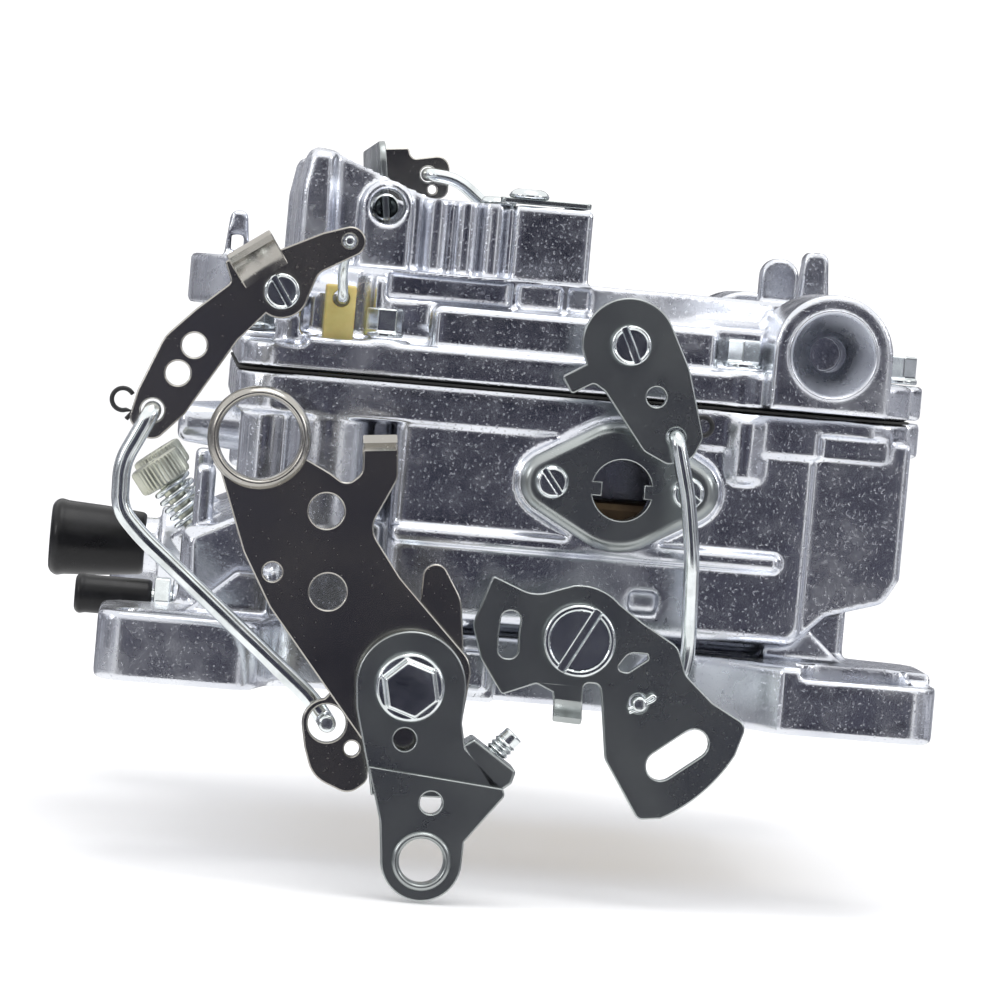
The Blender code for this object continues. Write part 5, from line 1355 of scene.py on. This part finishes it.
# ---------------------------------------------------------------- choke
def make_choke():
    """Choke plate and its screws, drilled shaft, lever and rod; the thermostat lever's finish."""
    x, z = xz(CHOKE)
    low, high = z - 25, z + 12
    lean = about((x, 0, z), -8.0)
    plate = moved(sheet([box_outline(-40.8, low, 40.8, high, 4)], x - 0.6, x + 0.6, 0.2, axis="x"), lean)
    stamping("choke_plate_sheet", [plate], "grey_zinc", "choke", ["choke_plate"], 40)
    screws = []
    for y in (-22.0, 22.0):
        screws.append(moved(lathe([(0, 0), (2.6, 0, 0.2), (2.4, 1.1, 0.7), (0, 1.4)], (x - 2.3, y, z), AHEAD,
                                  24), lean))
    bright_screw("choke_plate_screws", screws, "choke", sharp=40)
    pin_x, pin_z = xz(CHOKE_PIN)
    shape = outline(arc(x, z, 4.6, 150, 330, 20)
                    + [(-17.0, 89.2, 2), (-11.6, 91.0, 2), (-11.8, 99.6, 2.5), (-19.6, 98.0, 2),
                       (-20.4, 100.2, 0.5), (-26.0, 99.6, 0.5), (-25.6, 96.0), (-31.0, 90.0)])
    stamping("choke_lever_stamping",
             [sheet([shape, circle(x, z, 2.7, 28), circle(pin_x, pin_z, 1.6, 24),
                     circle(-14.9, 92.2, 0.9, 18)], *CHOKE_LEVER_Y)], "dark_zinc", "choke", ["choke_lever"])
    low_x, low_z = THERMOSTAT[0] + pin_x - x, THERMOSTAT[2] + pin_z - z
    route = [(pin_x, 72.8, pin_z), (pin_x, 67.0, pin_z), (pin_x + 6.0, 67.0, pin_z - 0.6),
             (pin_x + 16.0, 67.6, pin_z - 8.4), (low_x - 9.0, 71.6, low_z + 9.0), (low_x, 73.0, low_z),
             (low_x, 77.8, low_z)]
    wire("choke_rod_wire", bend(route, 3.0), 1.35, 18, "choke_rod", ["choke_rod"])
    far_end = node_box("choke_shaft")[1][1]
    shaft = lathe([(0, 6), (2.1, 0), (2.4, 0.3), (2.4, far_end + 41.5, 0.3), (0, far_end + 41.5)],
                  (x, -41.5, z), FAR_WAY, 32)
    add_piece("choke_shaft_turned", [shaft], "steel", "choke", ["choke_shaft"], 40)
    finish_node("thermostat_lever", "grey_zinc")


def make_thermostat():
    """The choke's die-cast housing and its ribbed black cap with three retainer screws."""
    x, z = xz(THERMOSTAT)
    low, high = node_box("choke_housing")
    start = (x, low[1], z)
    housing = lathe([(2.5, 5), (2.5, 0, 0.3), (20.2, 0, 1.2), (21.5, 1.4, 0.8), (21.5, 11, 0.4),
                     (18.5, 11, 0.3), (18.5, 3, 0.6), (2.5, 3, 0.2), (2.5, 5)], start, FAR_WAY, 72)
    add_piece("thermostat_housing", [housing], "casting", "root", ["choke_housing"], 34)
    low, high = node_box("choke_cap")
    profile = rounded_profile([(0, 0), (21.2, 0, 0.5), (21.9, 0.8, 0.3), (21.9, 4.4, 0.4), (21.3, 5.0, 0.3),
                               (15.6, 5.0, 0.6), (15.4, 8.6, 0.8), (14.0, 9.4, 0.5), (0, 9.4)])
    ribbed = profile[:, 0] > 21.6
    cap = revolved(profile[:, :1] - ribbed[:, None] * 0.35 * ribs(60), profile[:, 1], (x, low[1], z), FAR_WAY)
    add_piece("thermostat_cap", [cap], "plastic", "root", ["choke_cap"], 30)
    screws = []
    for angle in (90, 210, 330):
        a = math.radians(angle)
        spot = (x + 18.4 * math.cos(a), low[1] + 4.9, z + 18.4 * math.sin(a))
        screws.append(lathe([(0, 0), (3.0, 0, 0.2), (2.8, 1.2, 0.6), (0, 1.7)], spot, FAR_WAY, 28))
    bright_screw("thermostat_screws", screws, "root", sharp=40)


# ---------------------------------------------------------------- air side and bores
def make_boosters():
    """Venturi rings with flared mouths on streamlined arms, and the pump nozzle."""
    for pair, x, reach in (("primary", THROTTLE[0], 46.5), ("secondary", SECONDARY[0], 49.5)):
        for name, side in SIDES:
            node = f"booster_{pair}_{name}"
            low, high = node_box(node)
            y = side * BORE_Y
            s = Solid(low, high, BOOSTER_CELL)
            s.add(upright(x, y, low[2], high[2], 7.2, 0.6),
                  brick((x - 3.6, side * (BORE_Y + 5.5), low[2] + 0.4),
                        (x + 3.6, side * (reach - 0.2), low[2] + 6.6), 1.4), blend=1.2)
            s.cut(upright(x, y, low[2] - 3, high[2] + 3, 4.6, SHARP),
                  upright(x, y, high[2] - 3, high[2] + 0.4, 4.4, 0.05, top=6.7), blend=0.5)
            add_piece(node + "_casting", [s.surface()], "plain_casting", "root", [node], 45)
    low, high = node_box("pump_nozzle")
    s = Solid(low, high, NOZZLE_CELL)
    x = THROTTLE[0]
    s.add(brick((-23, -4.5, low[2] + 0.7), (-15, 4.5, high[2]), 1.2),
          cross_rod((x, low[2] + 3.2), -13, 13, 1.4, 0.4), upright(x, 0, low[2], low[2] + 3, 3.0, 0.2),
          blend=0.8)
    s.cut(upright(x, 0, high[2] - 1.0, high[2] + 2, 1.6, SHARP), blend=0.2)
    add_piece("nozzle_casting", [s.surface()], "plain_casting", "root", ["pump_nozzle"], 45)


def make_throttle_plates():
    """Brass discs with bevelled rims, and the two screws that hold each to its shaft."""
    for pair, centre, body in (("primary", THROTTLE, "throttle"),
                               ("secondary", SECONDARY, "secondary_throttle")):
        for name, side in SIDES:
            node = f"{pair}_throttle_plate_{name}"
            low, high = node_box(node)
            radius = (high[0] - low[0]) / 2
            spot = (centre[0], side * BORE_Y, centre[2])
            disc = lathe([(0, -0.75), (radius - 0.4, -0.75, 0.2), (radius, -0.2, 0.2), (radius, 0.2, 0.2),
                          (radius - 0.4, 0.75, 0.2), (0, 0.75)], spot, UP, 72)
            add_piece(node + "_brass", [disc], "brass", body, [node], 34)
            heads = [lathe([(0, 0), (2.3, 0, 0.1), (2.1, 0.9, 0.6), (0, 1.3)],
                           (centre[0], side * BORE_Y + dy, centre[2] + 4.1), UP, 24) for dy in (-7.0, 7.0)]
            bright_screw(f"{pair}_plate_screws_{name}", heads, body, sharp=40)
    for node in ("primary_shaft", "secondary_shaft"):
        finish_node(node, "steel")
    # The floats take brass darkened to painted shade, for the shaded bowl they sit in.
    for node in ("float_left", "float_right"):
        finish_node(node, "aged_brass")
    finish_node("air_valve", "plain_casting")


def make_step_up_covers():
    """The two plates on the choke tower, each with its oval-head screw."""
    for name, side in SIDES:
        node = "step_up_cover_" + name
        low, high = node_box(node)
        corners = [(4.8, 27.0, 0.8), (8.4, 27.0, 1), (8.4, 45.0, 1), (-8.0, 45.0, 1), (-8.0, 41.6, 1),
                   (4.8, 41.6, 0.8)]
        loop = outline([(x, side * y, r) for x, y, r in corners])
        stamping(node + "_sheet", [sheet([loop], low[2], high[2], 0.2, axis="z")], "grey_zinc", "root",
                 [node])
        x, y, z = -2.9, side * 43.2, high[2]
        s = small_solid((x - 4.2, y - 4.2, z), (x + 4.2, y + 4.2, z + 2.0))
        s.add(upright(x, y, z, z + 1.7, 4.0, 0.8, top=3.0), blend=0)
        s.cut(brick((x - 6, y - 0.5, z + 0.8), (x + 6, y + 0.5, z + 4), 0.05), blend=0.15)
        bright_screw(f"step_up_screw_{name}", [s.surface()], "root", sharp=34)


def make_vacuum_parts():
    """Rubber caps with rolled ends, and the hex fitting."""
    large = lathe([(0, 27.6), (6.2, 27.6, 0.9), (7.4, 26.2, 0.9), (7.0, 24.6, 0.6), (6.6, 17.5, 1),
                   (5.9, 10.2, 0.5), (5.3, 9.6, 0.3), (5.3, 25.2, 0.3), (0, 25.2)], (-57, 0, LARGE_PORT_Z),
                  AHEAD, 56)
    small = lathe([(0, 19.6), (3.0, 19.6, 0.7), (3.8, 18.7, 0.6), (3.5, 17.6, 0.4), (3.5, 6.2, 0.4),
                   (3.1, 5.6, 0.2), (2.3, 5.6, 0.2), (2.3, 16.5, 0.2), (0, 16.5)],
                  (-59, SMALL_PORT_Y, SMALL_PORT_Z), AHEAD, 44)
    s = small_solid((-64.4, -34.8, 6.4), (-61.0, -25.2, 16.0))
    s.add(hex_head((-61.2, SMALL_PORT_Y, SMALL_PORT_Z), AHEAD, 4.6, 3.0, 0.3, 0.0, 30), blend=0)
    spigot = lathe([(0, 0), (1.9, 0, 0.2), (1.9, 23, 0.3), (0, 23)], (-52, SMALL_PORT_Y, SMALL_PORT_Z), AHEAD,
                   24)
    add_piece("large_rubber_cap", [large], "rubber", "root", ["vacuum_cap_large"], 40)
    add_piece("small_rubber_cap", [small], "rubber", "root", ["vacuum_cap_small"], 40)
    add_piece("hex_fitting", [s.surface(), spigot], "steel", "root", ["vacuum_fitting"],
              32)


# ---------------------------------------------------------------- stage
CAMERA_DISTANCE, CAMERA_SIDE, CAMERA_HEIGHT = 900.0, -4.0, 72.0
CAMERA_YAW, CAMERA_PITCH, CAMERA_ROLL = 3.98, -2.47, 5.0
FOCAL_LENGTH = 170.6
FLOOR_GAP = 0.0004


def make_camera():
    """The camera at the view's place, turned by yaw, pitch and roll."""
    a = math.radians(CAMERA_SIDE)
    yaw, pitch, roll = (math.radians(v) for v in (CAMERA_YAW, CAMERA_PITCH, CAMERA_ROLL))
    forward = Vector((math.sin(yaw) * math.cos(pitch), math.cos(yaw) * math.cos(pitch), math.sin(pitch)))
    right = Vector((math.cos(yaw), -math.sin(yaw), 0.0))
    up = right.cross(forward)
    right_rolled = right * math.cos(roll) + up * math.sin(roll)
    up_rolled = up * math.cos(roll) - right * math.sin(roll)
    data = bpy.data.cameras.new("view")
    data.lens, data.sensor_width = FOCAL_LENGTH, 36.0
    data.clip_start, data.clip_end = 0.05, 50.0
    camera = placed("view", data)
    turn = Matrix((right_rolled, up_rolled, -forward)).transposed().to_4x4()
    spot = Vector((CAMERA_DISTANCE * math.sin(a), -CAMERA_DISTANCE * math.cos(a), CAMERA_HEIGHT)) * MM
    camera.matrix_world = Matrix.Translation(spot) @ turn
    bpy.context.scene.camera = camera


def stage_material(name, rgb, roughness=0.9):
    f = Finish(name, rgb, roughness, 0.0)
    f.roughness(f.span(f.noise(3.0, 2.0), 0.3, 0.7, roughness - 0.05, roughness))
    return f.material


def make_floor():
    """A wide pale disc just under the lowest lever, seen by the camera but not in the metal."""
    radii = np.repeat([[0.0], [0.6], [3.0], [30.0]], 96, axis=1)
    points, faces = revolved(radii, np.zeros(4), (0, 0, CAD_BOX[0].z - FLOOR_GAP), (0, 0, 1))
    material = stage_material("pale_floor", (0.93, 0.93, 0.94))
    floor = placed("floor", new_mesh("floor", points, faces[:, ::-1], material, 1e-6))
    floor.visible_glossy = False


def make_reflector(name, radius, azimuth, elevation, dark, light, scale):
    """A mottled card that only the metal's reflections see: a patch of a sphere, azimuth across (0 is the
    front, at -Y) and elevation up, both in degrees."""
    rows, columns = 12, 72
    around = np.radians(np.linspace(*azimuth, columns))[None]
    up = np.radians(np.linspace(*elevation, rows))[:, None]
    points = np.stack([radius * np.sin(around) * np.cos(up), -radius * np.cos(around) * np.cos(up),
                       radius * np.sin(up) * np.ones_like(around) + 0.04], -1)
    f = Finish(name, dark, 0.9, 0.0)
    f.shader.inputs["Specular IOR Level"].default_value = 0.0
    f.blend_colours(f.span(f.noise(scale, 2.0), 0.40, 0.68), dark, light)
    card = placed(name, new_mesh(name, points.reshape(-1, 3), grid_faces(rows, columns), f.material))
    for ray in ("camera", "diffuse", "shadow", "transmission"):
        setattr(card, "visible_" + ray, False)


def make_reflectors():
    """A dark card behind the camera and grey ones all round, so that the metal shows dark and light."""
    make_reflector("front_card", 1.7, (-26, 26), (-28, 22), (0.004, 0.004, 0.009), (0.13, 0.13, 0.17), 5.0)
    make_reflector("side_cards", 2.4, (34, 326), (-20, 24), (0.02, 0.02, 0.03), (0.72, 0.73, 0.78), 2.4)


def add_light(name, spot, size, power, target=(0.0, 0.0, 0.04)):
    data = bpy.data.lights.new(name, "AREA")
    data.shape = "DISK"
    data.size, data.energy = size, power
    light = placed(name, data)
    direction = Vector(target) - Vector(spot)
    light.matrix_world = Matrix.Translation(spot) @ direction.to_track_quat("-Z", "Y").to_matrix().to_4x4()
    light.visible_camera = False


def make_lights():
    """An even white surround with soft lamps above and to both sides."""
    world = bpy.data.worlds.new("studio")
    world.use_nodes = True
    background = world.node_tree.nodes["Background"]
    background.inputs["Color"].default_value = (1.0, 1.0, 1.0, 1.0)
    background.inputs["Strength"].default_value = 1.16
    bpy.context.scene.world = world
    add_light("top_lamp", (0.1, -0.2, 1.2), 0.9, 5.0)
    add_light("left_lamp", (-1.3, -0.7, 0.5), 0.5, 3.0)
    add_light("right_lamp", (1.3, -0.6, 0.6), 0.5, 2.5)
    bpy.context.scene.view_settings.view_transform = "Standard"


# ---------------------------------------------------------------- operators
def operator(name, label, doc, *builders):
    """An operator class that runs the given builders; a builder that fails raises."""

    def execute(self, context):
        for builder in builders:
            builder()
        return {"FINISHED"}

    body = {"__doc__": doc, "bl_idname": "carburetor." + name, "bl_label": label, "bl_options": {"REGISTER"},
            "execute": execute}
    return type("CARBURETOR_OT_" + name, (bpy.types.Operator,), body)


OPERATORS = [
    operator("main_body", "Main Body", "Make the lower casting", make_main_body),
    operator("air_horn", "Air Horn", "Make the upper casting and its fuel inlets",
             make_air_horn, make_fuel_inlets),
    operator("gasket", "Gasket", "Make the joint sheet", gasket_sheet),
    operator("cover_screws", "Cover Screws", "Make the eight flanged hex screws", make_cover_screws),
    operator("side_plate", "Side Plate", "Make the side plate and its two screws", make_side_plate),
    operator("pivot_screws", "Pivot Screws", "Make the three slotted shoulder screws", make_pivot_screws),
    operator("throttle_levers", "Throttle Levers", "Make the throttle lever, front lever and pump arm",
             make_throttle_lever, make_front_lever, make_pump_arm),
    operator("lever_bolt", "Lever Bolt", "Make the flanged hex bolt", make_lever_bolt),
    operator("idle_speed_screw", "Idle Speed Screw", "Make the threaded stop screw", make_idle_speed_screw),
    operator("mixture_screws", "Mixture Screws", "Make the knurled screws and their springs",
             make_mixture_screws),
    operator("shaft_cranks", "Shaft Cranks", "Make the far-side cranks and their link", make_shaft_cranks),
    operator("pump_linkage", "Pump Linkage", "Make the pump lever, rod, link and plunger",
             make_pump_lever, make_pump_rod, make_pump_link, make_plunger),
    operator("fast_idle", "Fast Idle", "Make the sector, the idle lever and their rod",
             make_sector, make_idle_lever, make_idle_rod),
    operator("choke", "Choke", "Make the choke plate, lever and rod", make_choke),
    operator("thermostat", "Thermostat", "Make the choke housing and cap", make_thermostat),
    operator("boosters", "Boosters", "Make the venturi rings and the pump nozzle", make_boosters),
    operator("throttle_plates", "Throttle Plates", "Make the brass plates and finish the shafts",
             make_throttle_plates),
    operator("step_up_covers", "Step-Up Covers", "Make the two covers and their screws", make_step_up_covers),
    operator("vacuum_parts", "Vacuum Parts", "Make the rubber caps and the hex fitting", make_vacuum_parts),
    operator("stage", "Stage", "Make the floor, the lights and the camera",
             make_floor, make_reflectors, make_lights, make_camera),
]


class CARBURETOR_PT_looks(bpy.types.Panel):
    """Lists the settings and the makers in the sidebar."""

    bl_idname = "CARBURETOR_PT_looks"
    bl_label = "Carburetor"
    bl_space_type = "VIEW_3D"
    bl_region_type = "UI"
    bl_category = "Carburetor"

    def draw(self, context):
        for group in (context.scene.carburetor_sizes, context.scene.carburetor_colours):
            for key in group.__annotations__:
                self.layout.prop(group, key)
        for made in OPERATORS:
            self.layout.operator(made.bl_idname)


CLASSES = [CarburetorSizes, CarburetorColours, *OPERATORS, CARBURETOR_PT_looks]


def register():
    for cls in CLASSES:
        bpy.utils.register_class(cls)
    bpy.types.Scene.carburetor_sizes = bpy.props.PointerProperty(type=CarburetorSizes)
    bpy.types.Scene.carburetor_colours = bpy.props.PointerProperty(type=CarburetorColours)


def unregister():
    del bpy.types.Scene.carburetor_colours
    del bpy.types.Scene.carburetor_sizes
    for cls in reversed(CLASSES):
        bpy.utils.unregister_class(cls)


def main():
    """Registers the add-on, makes every piece and the stage, and writes both boxes."""
    register()
    for made in OPERATORS:
        getattr(bpy.ops.carburetor, made.bl_idname.split(".")[1])()


if __name__ == "__main__":
    main()
